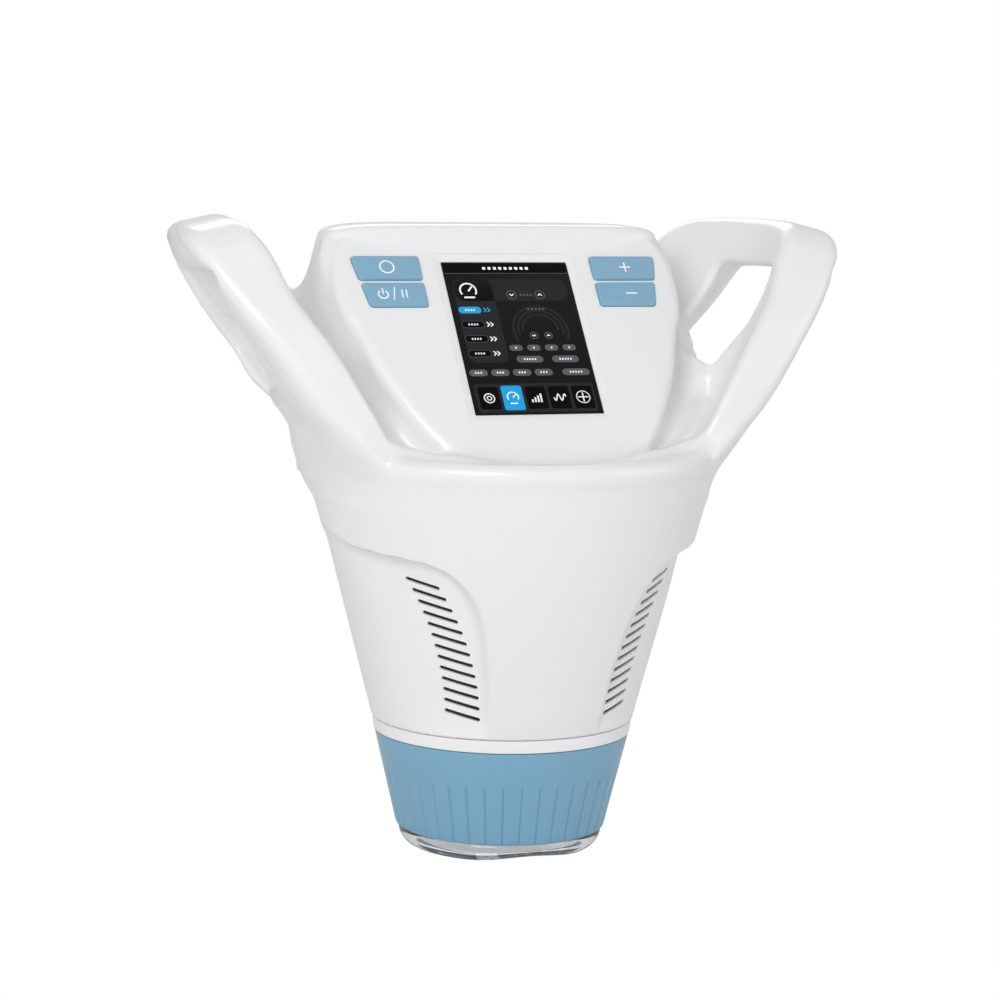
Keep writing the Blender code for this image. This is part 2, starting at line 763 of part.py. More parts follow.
def panel_outline(inset=0.0):
    """Outline of the panel, drawn in by a length."""
    height = PANEL_BOTTOM_S - PANEL_TOP_S
    half = [(PANEL_HALF_WIDTH * across, PANEL_TOP_S + height * along) for across, along in PANEL_SHARES]
    centre_s = PANEL_TOP_S + height / 2
    points = []
    for across, along in half:
        reach = math.hypot(across, along - centre_s)
        share = (reach - inset) / reach
        points.append((across * share, centre_s + (along - centre_s) * share))
    return points + [(-across, along) for across, along in reversed(points)]


def cavity_form(shop):
    """Plain turned hollow of the lower housing, up to the valley of the cover."""
    profile = [(0.0, SEAM_Z + RIM_RISE - VALLEY_DROP - WALL)]
    top = body_radius(1.0) - CAVITY_INSET
    profile += [
        (top * VALLEY_SHARES[1][0], profile[0][1]), (top - RIM_INSET / 2, SEAM_Z + RIM_RISE / 2 - WALL / 2),
    ]
    for share in (1.0, (1.0 + FLARE_START_SHARE) / 2, FLARE_START_SHARE):
        profile.append((body_radius(share) - CAVITY_INSET, HOUSING_Z + LOWER_HEIGHT * share))
    floor = HOUSING_Z + FLOOR_THICKNESS
    profile += [(body_radius(0.0) - WALL, floor), (0.0, floor)]
    return turned("cavity_form", profile, shop.cutters, CAVITY_STEPS, ring=False)


def core_form(name, inset, shop, points=CORE_POINTS, every=1):
    """Back of the panel box, as sections that shrink upwards."""
    rings = []
    for share, front_share, back_share, width_share in CORE_SHARES[::every]:
        depth = CORE_BACK_Y - CORE_FRONT_Y
        front = CORE_FRONT_Y + depth * front_share + inset
        back = CORE_FRONT_Y + depth * back_share - inset
        half_width = CORE_HALF_WIDTH * width_share - inset
        height = CORE_Z + (CORE_TOP_Z - CORE_Z) * share
        if share > 0.9:
            height -= inset
        ring = []
        for step in range(points):
            angle = math.tau * step / points
            across = math.copysign(abs(math.cos(angle)) ** (2 / CORE_SQUARENESS), math.cos(angle))
            along = math.copysign(abs(math.sin(angle)) ** (2 / CORE_SQUARENESS), math.sin(angle))
            ring.append(
                Vector((half_width * across, (front + back) / 2 + (back - front) / 2 * along, height))
            )
        rings.append(ring)
    return loft(name, rings, shop.cutters)


def loop_radius(height, outer):
    """Radius of the handle's outer or inner surface at a height."""
    share = (height - SEAM_Z) / LOOP_RISE
    if outer:
        return LOOP_OUTER_RADIUS + LOOP_OUTER_FLARE * interpolate(OUTER_FLARE_SHARES, share)
    return LOOP_INNER_RADIUS + LOOP_INNER_FLARE * interpolate(INNER_FLARE_SHARES, share)


def on_flare(side, height, radius):
    """Point at a radius whose side-view place is given, on the right side."""
    return Vector((math.sqrt(max(radius * radius - side * side, 0.0)), side, height))


def fade(value, start, reach):
    """Smooth step from nought to one over a reach."""
    share = min(1.0, max(0.0, (value - start) / reach))
    return share * share * (3 - 2 * share)


def outer_radius(height, side):
    """Radius of the handle's outer face, with the crests of its front and rear bars."""
    share = (height - SEAM_Z) / LOOP_RISE
    ahead = 1 - fade(side, FRONT_CREST_Y, FRONT_CREST_REACH)
    behind = fade(side, REAR_CREST_Y, REAR_CREST_REACH)
    front = FRONT_CREST * interpolate(FRONT_CREST_SHARES, share) * ahead
    rear = REAR_CREST * interpolate(REAR_CREST_SHARES, share) * behind
    return loop_radius(height, True) + front + rear


def hole_point(side, height, outward):
    """Side-view place of a hole point; outward is 0 on the inner face and 1 on the outer."""
    share = outward - 0.5
    centre_y = LOOP_FRONT_Y + LOOP_DEPTH * HOLE_CENTRE_SHARE
    centre_z = SEAM_Z + LOOP_RISE * HOLE_CENTRE_RISE_SHARE
    return (
        centre_y + (side - centre_y) * (1 + HOLE_FLARE_Y * share) + HOLE_SHIFT_Y * share,
        centre_z + (height - centre_z) * (1 + HOLE_FLARE_Z * share) + HOLE_SHIFT_Z * share,
    )


def loop_form(shop):
    """Right handle loop: rounded sections carried round the hole."""
    rings = []
    for hole_u, hole_v, out_u, out_v in LOOP_SHARES:
        hole = (LOOP_FRONT_Y + LOOP_DEPTH * hole_u, SEAM_Z + LOOP_RISE * hole_v)
        out = (LOOP_FRONT_Y + LOOP_DEPTH * out_u, SEAM_Z + LOOP_RISE * out_v)
        behind = REAR_SHIFT * fade(out_u, REAR_SHARE, 1.0 - REAR_SHARE)
        width = math.hypot(hole[0] - out[0], hole[1] - out[1])
        middle_z = (hole[1] + out[1]) / 2
        thickness = outer_radius(middle_z, out[0]) - loop_radius(middle_z, False)
        along = min(0.45, LOOP_ROUNDING / width)
        across = min(0.45, LOOP_ROUNDING / thickness)
        corners = (
            (0.0, across), (along, 0.0), (1 - along, 0.0), (1.0, across),
            (1.0, 1 - across), (1 - along, 1.0), (along, 1.0), (0.0, 1 - across),
        )
        ring = []
        for from_out, outward in corners:
            at_hole = hole_point(hole[0], hole[1], outward)
            at_rim = (out[0] + behind * outward, out[1])
            side = at_rim[0] + (at_hole[0] - at_rim[0]) * from_out
            height = at_rim[1] + (at_hole[1] - at_rim[1]) * from_out
            inner = loop_radius(height, False)
            radius = inner + (outer_radius(height, side) - inner) * outward
            ring.append(on_flare(side, height, radius))
        rings.append(ring)
    return loft("handle_form", rings, shop.cutters, closed=True)


def skin_form(name, grow, shop):
    """Region of the right handle's outer skin, which belongs to the lower housing."""
    rings = []
    end_angle = math.radians(150)
    arc_steps = 8
    shares = [share for share, _ in SKIN_EDGE_SHARES] + [1.0 + OVERRUN / LOOP_RISE]
    for index, share in enumerate(shares):
        height = SEAM_Z + LOOP_RISE * share
        if index == 0:
            height = SEAM_Z - OVERRUN
        outer = loop_radius(height, True)
        inner = outer - SKIN_THICKNESS - grow
        front = SKIN_FRONT_Y + SKIN_FRONT_RISE * interpolate(SKIN_EDGE_SHARES, min(share, 1.0))
        start_angle = math.acos(-front / outer)
        ring = []
        for reach in (inner, SKIN_REACH):
            arc = [
                start_angle + (end_angle - start_angle) * step / arc_steps
                for step in range(arc_steps + 1)
            ]
            arc[0] = math.acos((grow - front) / outer)
            if reach == SKIN_REACH:
                arc.reverse()
            ring += [Vector((reach * math.sin(angle), -reach * math.cos(angle), height)) for angle in arc]
        rings.append(ring)
    rings[-1] = [Vector((point.x, point.y, point.z + OVERRUN)) for point in rings[-1]]
    return loft(name, rings, shop.cutters, split=True)


def shell_forms(shop):
    """Outer form of both shells, and the cavity that they share."""
    outside = body_form("body_form", shop)
    core = core_form("core_form", 0.0, shop)
    box = plate(
        "panel_form", panel_outline(), 0.0, PANEL_DEPTH, shop.cutters, panel_place(), PANEL_ROUNDING,
    )
    right = loop_form(shop)
    left = mirrored(right, shop.cutters)
    fuse(outside, core, box, right, left)
    outside = as_cutter(bake(outside), shop)
    outside.name = "shell_form"
    cavity = cavity_form(shop)
    inner_core = core_form("core_cavity", WALL, shop, CORE_CAVITY_POINTS, 3)
    inner_box = plate(
        "panel_cavity", panel_outline(WALL), PANEL_WALL, PANEL_DEPTH - WALL, shop.cutters, panel_place(),
    )
    fuse(cavity, inner_core, inner_box)
    cavity = as_cutter(bake(cavity), shop)
    for guide in (core, box, right, left, inner_core, inner_box):
        as_cutter(guide, shop)
    return outside, cavity


def parting_region(name, grow, shop):
    """Everything below the seam and outside the skins' inner faces."""
    reach = 2 * SKIN_REACH
    low = HOUSING_Z - OVERRUN
    high = SEAM_Z - HALF_GAP + grow
    region = block(name, (reach, reach, high - low), (0.0, 0.0, (low + high) / 2), shop.cutters)
    right = skin_form(name + "_skin", grow, shop)
    left = mirrored(right, shop.cutters)
    fuse(region, right, left)
    region = as_cutter(bake(region), shop)
    as_cutter(right, shop)
    as_cutter(left, shop)
    return region


def vent_cutters(shop):
    """Slots of both vent columns, joined into one cutter."""
    slots = []
    half = VENT_LENGTH / 2
    round_end = VENT_WIDTH / 2
    outline = [
        (-half, 0.0), (round_end - half, -round_end), (half - round_end, -round_end),
        (half, 0.0), (half - round_end, round_end), (round_end - half, round_end),
    ]
    for index in range(VENT_COUNT):
        share = index / (VENT_COUNT - 1)
        height = VENT_TOP_Z - VENT_PITCH * index
        angle = VENT_BOTTOM_ANGLE + (VENT_TOP_ANGLE - VENT_BOTTOM_ANGLE) * (1 - share) ** VENT_CURVE_POWER
        radius = body_radius((height - HOUSING_Z) / LOWER_HEIGHT)
        outward = Vector((math.sin(angle), -math.cos(angle), 0.0))
        across = Vector((math.cos(angle), math.sin(angle), 0.0))
        up = Vector((0.0, 0.0, 1.0))
        place = Matrix.Identity(4)
        place.col[0][:3] = across * math.cos(VENT_LEAN) + up * math.sin(VENT_LEAN)
        place.col[1][:3] = up * math.cos(VENT_LEAN) - across * math.sin(VENT_LEAN)
        place.col[2][:3] = Vector(place.col[0][:3]).cross(Vector(place.col[1][:3]))
        place.col[3][:3] = outward * radius + up * height
        slots.append(
            plate("vent_slot", outline, -VENT_CUT_DEPTH / 2, VENT_CUT_DEPTH / 2, shop.cutters, place)
        )
    slots += [mirrored(slot, shop.cutters) for slot in list(slots)]
    return as_cutter(joined("vent_cutter", slots, shop.cutters), shop)


def button_outline(side, row, grow=0.0):
    """Outline of one button cap; side is 1 for the right, row 0 is the upper one."""
    top = BUTTON_TOP_S + row * (BUTTON_HEIGHT + BUTTON_SPACING)
    bottom = top + BUTTON_HEIGHT
    slope = BUTTON_TAPER / BUTTON_HEIGHT
    outer_top = BUTTON_OUTER_X - slope * (top - BUTTON_TOP_S)
    outer_bottom = BUTTON_OUTER_X - slope * (bottom - BUTTON_TOP_S)
    points = [
        (BUTTON_INNER_X - grow, top - grow), (outer_top + grow, top - grow),
        (outer_bottom + grow, bottom + grow), (BUTTON_INNER_X - grow, bottom + grow),
    ]
    radii = [BUTTON_CORNER + grow, BUTTON_CORNER + grow, BUTTON_CORNER + grow, BUTTON_CORNER + grow]
    radii[1 + row] = BUTTON_WIDE_CORNER + grow
    outline = rounded_outline(points, radii, 2)
    return [(side * point[0], point[1]) for point in outline]


def button_centre(side, row):
    """Centre of a button on the panel."""
    across = side * (BUTTON_INNER_X + BUTTON_OUTER_X) / 2
    along = BUTTON_TOP_S + row * (BUTTON_HEIGHT + BUTTON_SPACING) + BUTTON_HEIGHT / 2
    return across, along


def flange_depth():
    """Depth of the inner face of a button's flange below the panel's face."""
    return PANEL_WALL + GAP + BUTTON_FLANGE_THICKNESS


def plunger_depth():
    """Depth of a switch plunger's tip."""
    return flange_depth() + BUTTON_TRAVEL + BUTTON_REST_PLAY


def board_depth():
    """Depth of the control board's front face."""
    return plunger_depth() + PLUNGER_HEIGHT + SWITCH_BODY_HEIGHT + GAP


def rectangle(half_width, half_height, centre=(0.0, 0.0)):
    """Corner points of a rectangle."""
    x, y = centre
    return [
        (x - half_width, y - half_height), (x + half_width, y - half_height),
        (x + half_width, y + half_height), (x - half_width, y + half_height),
    ]


def boss_spots():
    """Places of the board's bosses on the panel."""
    return [(side * BOSS_X, along) for side in (-1, 1) for along in (BOSS_UPPER_S, BOSS_LOWER_S)]


def on_panel(item, across, along, depth=0.0):
    """Place an object made along Z so that its Z points into the panel."""
    return move_to(item, panel_place() @ Matrix.Translation((across, along, depth)))


def window_cutter(shop):
    """Window for the screen, with its sloping border."""
    half_width = GLASS_WIDTH / 2 + GAP
    half_height = GLASS_HEIGHT / 2 + GAP
    grown = WINDOW_BEVEL * (1 + OVERRUN / WINDOW_BEVEL_DEPTH)
    rings = []
    for depth, grow in (
        (-OVERRUN, grown), (WINDOW_BEVEL_DEPTH, 0.0), (PANEL_WALL + OVERRUN, 0.0),
    ):
        corners = rectangle(half_width + grow, half_height + grow)
        rings.append([panel_place() @ Vector((x, y, depth)) for x, y in corners])
    return as_cutter(loft("window_cutter", rings, shop.cutters), shop)


def cover_screw_place(side, index):
    """Frame of a cover screw: z points out of the handle's outer face."""
    depth_share, rise_share = COVER_SCREW_SHARES[index]
    along = LOOP_FRONT_Y + LOOP_DEPTH * depth_share
    height = SEAM_Z + LOOP_RISE * rise_share
    radius = outer_radius(height, along)
    step = 2 * OVERRUN
    slope = (outer_radius(height + step, along) - outer_radius(height - step, along)) / (2 * step)
    point = on_flare(along, height, radius)
    flat = Vector((point.x, point.y, 0.0)).normalized()
    outward = (flat - Vector((0.0, 0.0, slope))).normalized()
    across = Vector((0.0, 0.0, 1.0)).cross(outward).normalized()
    place = Matrix.Identity(4)
    place.col[0][:3] = across
    place.col[1][:3] = outward.cross(across)
    place.col[2][:3] = outward
    place.col[3][:3] = point
    if side < 0:
        place = Matrix.Scale(-1.0, 4, (1.0, 0.0, 0.0)) @ place @ Matrix.Scale(-1.0, 4, (1.0, 0.0, 0.0))
    return place


def cover_screw_cutter(side, index, shop):
    """Counterbored hole through the skin and into the cover."""
    head = COVER_SCREW_HEAD_RADIUS + GAP
    shank = COVER_SCREW_RADIUS + GAP
    seat = -COVER_SCREW_SINK - COVER_SCREW_HEAD_HEIGHT - GAP
    foot = seat - COVER_SCREW_LENGTH - OVERRUN
    profile = [
        (0.0, OVERRUN + COVER_SCREW_HEAD_RADIUS), (head, OVERRUN + COVER_SCREW_HEAD_RADIUS),
        (head, seat), (shank, seat), (shank, foot), (0.0, foot),
    ]
    item = turned("screw_cutter", profile, shop.cutters, SMALL_STEPS, ring=False)
    return as_cutter(move_to(item, cover_screw_place(side, index)), shop)


def make_shells(shop, white):
    """Lower housing and top cover."""
    outside, cavity = shell_forms(shop)
    below = parting_region("below_seam", 0.0, shop)
    below_grown = parting_region("below_seam_grown", GAP, shop)
    screws = [cover_screw_cutter(side, index, shop) for side in (-1, 1) for index in (0, 1)]

    housing = add_object("main_housing", outside.data.copy(), shop.parts)
    boolean(housing, below, "INTERSECT")
    cut(housing, cavity)
    housing = bake(housing)
    bore = disc(
        "floor_bore", FLOOR_BORE_RADIUS, HOUSING_Z - OVERRUN, HOUSING_Z + 2 * FLOOR_THICKNESS, shop.cutters,
    )
    boss = inlet_disc("inlet_boss", INLET_BOSS_RADIUS, INLET_BOSS_BACK_Y, INLET_BOSS_FACE_Y, shop)
    half_step = math.pi / INLET_STEPS
    inlet_hole = inlet_disc(
        "inlet_hole", INLET_RADIUS + GAP, INLET_BOSS_BACK_Y - OVERRUN, INLET_BOSS_FACE_Y + OVERRUN, shop,
        half_step,
    )
    fuse(housing, boss)
    cut(housing, as_cutter(bore, shop), inlet_hole, vent_cutters(shop), *screws)
    finish(bake(housing), shop, white)

    cover = add_object("top_cover", outside.data.copy(), shop.parts)
    cut(cover, below_grown, cavity)
    cover = bake(cover)
    for across, along in boss_spots():
        boss = tube(
            "board_boss", BOSS_BORE_RADIUS, BOSS_RADIUS, PANEL_WALL - BOSS_BORE_FLOOR, board_depth() - GAP,
            shop.cutters, SMALL_STEPS,
        )
        fuse(cover, as_cutter(on_panel(boss, across, along), shop))
    cut(cover, window_cutter(shop))
    for side in (-1, 1):
        for row in (0, 1):
            outline = button_outline(side, row, GAP)
            hole = plate(
                "button_hole", outline, -OVERRUN, PANEL_WALL + OVERRUN, shop.cutters, panel_place(),
            )
            cut(cover, as_cutter(hole, shop))
    cut(cover, *screws)
    finish(bake(cover), shop, white)


def inlet_disc(name, radius, near_y, far_y, shop, turn=0.0):
    """Round solid along Y on the inlet's axis, between two Y places, turned by an angle."""
    item = disc(name, radius, near_y, far_y, shop.cutters, INLET_STEPS)
    place = Matrix.Translation((0.0, 0.0, INLET_Z)) @ Matrix.Rotation(math.radians(-90), 4, "X")
    move_to(item, place @ Matrix.Rotation(turn, 4, "Z"))
    return as_cutter(item, shop)


def make_screws(shop, steel):
    """Screws of the handle skins and of the control board."""
    for side, word in ((-1, "left"), (1, "right")):
        for index in (0, 1):
            top = -COVER_SCREW_SINK
            neck = top - COVER_SCREW_HEAD_HEIGHT
            profile = [
                (0.0, top), (COVER_SCREW_HEAD_RADIUS, top), (COVER_SCREW_HEAD_RADIUS, neck),
                (COVER_SCREW_RADIUS, neck), (COVER_SCREW_RADIUS, neck - COVER_SCREW_LENGTH),
                (0.0, neck - COVER_SCREW_LENGTH),
            ]
            item = turned(f"cover_screw_{word}_{index + 1}", profile, shop.parts, SMALL_STEPS, ring=False)
            finish(move_to(item, cover_screw_place(side, index)), shop, steel)
    back = board_depth() + BOARD_THICKNESS + GAP
    for number, (across, along) in enumerate(boss_spots(), 1):
        profile = [
            (0.0, back + SMALL_SCREW_HEAD_HEIGHT),
            (SMALL_SCREW_HEAD_RADIUS, back + SMALL_SCREW_HEAD_HEIGHT),
            (SMALL_SCREW_HEAD_RADIUS, back), (SMALL_SCREW_RADIUS, back),
            (SMALL_SCREW_RADIUS, back - SMALL_SCREW_LENGTH), (0.0, back - SMALL_SCREW_LENGTH),
        ]
        item = turned(f"board_screw_{number}", profile, shop.parts, SMALL_STEPS, ring=False)
        finish(on_panel(item, across, along), shop, steel)


def make_panel_parts(shop, mats):
    """Screen glass, display module, control board, switches and button caps."""
    place = panel_place()
    glass_front = PANEL_WALL - GLASS_THICKNESS
    glass = plate(
        "screen_glass", rectangle(GLASS_WIDTH / 2, GLASS_HEIGHT / 2), glass_front, PANEL_WALL,
        shop.parts, place,
    )
    finish(glass, shop, mats["glass_black"])
    module = plate(
        "lcd_module", rectangle(GLASS_WIDTH / 2 + MODULE_MARGIN, GLASS_HEIGHT / 2 + MODULE_MARGIN),
        PANEL_WALL + GAP, PANEL_WALL + GAP + MODULE_THICKNESS, shop.parts, place,
    )
    finish(module, shop, mats["module_grey"])
    half = [
        (BOARD_SHOULDER_HALF_WIDTH, BOARD_TOP_S),
        (BOARD_HALF_WIDTH, BOARD_SHOULDER_S), (BOARD_HALF_WIDTH, BOARD_STEP_S),
        (BOARD_TAIL_HALF_WIDTH, BOARD_STEP_S), (BOARD_TAIL_HALF_WIDTH, BOARD_BOTTOM_S),
    ]
    outline = half + [(-x, s) for x, s in reversed(half)]
    board = plate(
        "control_board", outline, board_depth(), board_depth() + BOARD_THICKNESS, shop.parts, place,
    )
    for across, along in boss_spots():
        hole = disc(
            "board_hole", BOSS_BORE_RADIUS, board_depth() - OVERRUN, board_depth() + 2 * OVERRUN,
            shop.cutters, SMALL_STEPS,
        )
        cut(board, as_cutter(on_panel(hole, across, along), shop))
    finish(board, shop, mats["board_green"])
    names = {
        (-1, 0): "standby_button", (-1, 1): "start_pause_button", (1, 0): "plus_button",
        (1, 1): "minus_button",
    }
    number = 0
    for (side, row), name in names.items():
        number += 1
        across, along = button_centre(side, row)
        local = place @ Matrix.Translation((across, along, 0.0))
        shifted = [(x - across, s - along) for x, s in button_outline(side, row)]
        crowned = [(x - across, s - along) for x, s in button_outline(side, row, -BUTTON_CROWN)]
        wide = [(x - across, s - along) for x, s in button_outline(side, row, BUTTON_FLANGE)]
        rings = []
        seat = PANEL_WALL + GAP
        for outline, depth in (
            (crowned, -BUTTON_PROUD), (shifted, -BUTTON_PROUD + BUTTON_CROWN),
            (shifted, seat), (wide, seat), (wide, flange_depth()),
        ):
            rings.append([Vector((x, s, depth)) for x, s in outline])
        cap = loft(name, rings, shop.parts)
        finish(move_to(cap, local), shop, mats["button_blue"])
        low = plunger_depth() + PLUNGER_HEIGHT
        body = plate(
            f"tact_switch_{number}", rectangle(SWITCH_SIDE / 2, SWITCH_SIDE / 2, (across, along)),
            low, low + SWITCH_BODY_HEIGHT, shop.parts, place,
        )
        plunger = disc(
            "plunger", PLUNGER_RADIUS, plunger_depth(), low + SWITCH_BODY_HEIGHT / 2, shop.cutters,
            SMALL_STEPS,
        )
        fuse(body, as_cutter(on_panel(plunger, across, along), shop))
        finish(body, shop, mats["dark_plastic"])


def collar_radius(height):
    """Outer radius of the collar at a height."""
    share = (height - COLLAR_Z) / COLLAR_HEIGHT
    return COLLAR_BOTTOM_RADIUS + (COLLAR_TOP_RADIUS - COLLAR_BOTTOM_RADIUS) * share


def make_collar(shop, blue):
    """Grip collar with ribs, neck and bayonet lugs."""
    rib_top = COLLAR_Z + COLLAR_HEIGHT * RIB_SHARE
    rings = []
    for height, groove, inset in (
        (COLLAR_Z, RIB_DEPTH, 0.0), (rib_top, RIB_DEPTH, 0.0),
        (rib_top + COLLAR_EDGE, 0.0, 0.0), (COLLAR_TOP_Z, 0.0, 0.0),
    ):
        ring = []
        for rib in range(RIB_COUNT):
            for within, low in ((0.0, 0), (0.66, 0), (0.83, 1)):
                angle = math.tau * (rib + within) / RIB_COUNT
                radius = collar_radius(height) - inset - groove * low
                ring.append(Vector((radius * math.sin(angle), -radius * math.cos(angle), height)))
        rings.append(ring)
    item = loft("collar", rings, shop.parts)
    neck_top = COLLAR_TOP_Z + NECK_HEIGHT
    neck = tube(
        "collar_neck", COLLAR_INNER_RADIUS, NECK_RADIUS, COLLAR_TOP_Z - OVERRUN, neck_top, shop.cutters,
    )
    fuse(item, as_cutter(neck, shop))
    lug_low = TRIM_Z + RING_LIP_HEIGHT + GAP
    for index in range(LUG_COUNT):
        lug = sector(f"lug_{index}", NECK_RADIUS - LUG_OVERLAP, NECK_RADIUS + LUG_REACH, lug_low, neck_top,
                     math.tau * index / LUG_COUNT, LUG_ANGLE, shop)
        fuse(item, lug)
    step_z = COLLAR_Z + COLLAR_BORE_HEIGHT
    bore = turned("collar_bore", [
        (0.0, neck_top + OVERRUN), (COLLAR_INNER_RADIUS, neck_top + OVERRUN), (COLLAR_INNER_RADIUS, step_z),
        (COLLAR_BORE_RADIUS, step_z), (COLLAR_BORE_RADIUS, COLLAR_Z - OVERRUN), (0.0, COLLAR_Z - OVERRUN),
    ], shop.cutters, ring=False)
    cut(item, as_cutter(bore, shop))
    finish(item, shop, blue)


def sector(name, inner, outer, low, high, middle, spread, shop, steps=3):
    """A piece of a ring, centred on an angle from the front."""
    arc = [middle - spread / 2 + spread * step / steps for step in range(steps + 1)]
    outline = [(inner * math.sin(a), -inner * math.cos(a)) for a in arc]
    outline += [(outer * math.sin(a), -outer * math.cos(a)) for a in reversed(arc)]
    return as_cutter(plate(name, outline, low, high, shop.cutters), shop)


def make_rings(shop, mats):
    """Trim ring and the bayonet ring that it covers."""
    top = TRIM_Z + TRIM_HEIGHT
    low_radius = collar_radius(COLLAR_TOP_Z) + GAP
    high_radius = CONE_RADIUS - GAP
    inner = high_radius - TRIM_WALL
    trim = turned(
        "trim_ring", [(high_radius, top), (low_radius, TRIM_Z), (inner, TRIM_Z), (inner, top)], shop.parts,
    )
    finish(trim, shop, mats["white"])
    outer = inner - GAP
    groove = NECK_RADIUS + LUG_REACH + 2 * GAP
    lip = NECK_RADIUS + 2 * GAP
    ring = turned("bayonet_ring", [
        (outer, top), (outer, TRIM_Z), (lip, TRIM_Z), (lip, TRIM_Z + RING_LIP_HEIGHT),
        (groove, TRIM_Z + RING_LIP_HEIGHT), (groove, top),
    ], shop.parts)
    for index in range(LUG_COUNT):
        slot = sector(
            f"lug_slot_{index}", lip - OVERRUN, groove + LUG_OVERLAP / 2, TRIM_Z - OVERRUN, top + OVERRUN,
            math.tau * (index + 0.25) / LUG_COUNT, LUG_ANGLE * 1.3, shop,
        )
        cut(ring, slot)
    finish(ring, shop, mats["dark_plastic"])


def make_cup(shop, mats):
    """Clear cup, its seal, lock ring and gasket."""
    outer = COLLAR_BORE_RADIUS - GAP
    inner = outer - CUP_WALL
    groove = outer - SEAL_THICKNESS - GAP
    lip_top = CUP_LIP_HEIGHT
    foot_inner = CUP_FOOT_RADIUS - CUP_FOOT_WIDTH
    profile = [
        (outer, CUP_TOP_Z), (outer, SEAL_Z + SEAL_HEIGHT + 2 * GAP),
        (groove, SEAL_Z + SEAL_HEIGHT + 2 * GAP),
        (groove, SEAL_Z), (outer, SEAL_Z), (outer, lip_top), (CUP_LIP_RADIUS, lip_top),
        (CUP_LIP_RADIUS - CUP_LIP_TAPER, CUP_BEND), (CUP_LIP_RADIUS - 3 * CUP_LIP_TAPER, CUP_BEND * 0.4),
        (CUP_FOOT_RADIUS, 0.0), (foot_inner, 0.0), (inner, CUP_BEND * 0.25), (inner, CUP_TOP_Z),
    ]
    cup = turned("vacuum_cup", profile, shop.parts)
    arch = []
    for step in range(ARCH_POINTS):
        share = 2 * step / (ARCH_POINTS - 1) - 1
        arch.append((ARCH_HALF_WIDTH * share, ARCH_RISE * math.cos(share * math.pi / 2) ** 2))
    outline = [(-ARCH_HALF_WIDTH, -OVERRUN)] + arch + [(ARCH_HALF_WIDTH, -OVERRUN)]
    reach = CUP_LIP_RADIUS + OVERRUN
    turn = Matrix.Rotation(math.radians(90), 4, "X")
    cutter = plate("arch_cutter", outline, -reach, reach, shop.cutters, turn)
    cut(cup, as_cutter(cutter, shop))
    finish(cup, shop, mats["clear"])
    seal = tube("cup_seal", groove + GAP, outer, SEAL_Z + GAP, SEAL_Z + GAP + SEAL_HEIGHT, shop.parts)
    finish(seal, shop, mats["rubber"])
    step_z = COLLAR_Z + COLLAR_BORE_HEIGHT + GAP
    ring_top = CUP_TOP_Z + GAP + LOCK_RING_THICKNESS
    lock = turned("cup_lock_ring", [
        (COLLAR_INNER_RADIUS - GAP, ring_top), (COLLAR_INNER_RADIUS - GAP, step_z), (outer + GAP, step_z),
        (outer + GAP, CUP_TOP_Z + GAP), (LOCK_RING_BORE_RADIUS, CUP_TOP_Z + GAP),
        (LOCK_RING_BORE_RADIUS, ring_top),
    ], shop.parts)
    finish(lock, shop, mats["dark_plastic"])
    gasket = tube("chamber_gasket", GASKET_BORE_RADIUS, BULKHEAD_RADIUS - OVERRUN / 2, ring_top + GAP,
                  ring_top + GAP + GASKET_HEIGHT, shop.parts)
    finish(gasket, shop, mats["rubber"])


def bulkhead_z():
    """Lower face of the bulkhead."""
    return CUP_TOP_Z + GAP + LOCK_RING_THICKNESS + GAP + GASKET_HEIGHT + GAP


def bulkhead_plate_z():
    """Upper face of the bulkhead's plate."""
    return bulkhead_z() + BULKHEAD_PLATE


def flange_z():
    """Lower face of the bulkhead's flange."""
    return HOUSING_Z + FLOOR_THICKNESS + GAP


def port_place():
    """Axis of the suction port."""
    return Matrix.Translation((0.0, PORT_CIRCLE_RADIUS, 0.0))


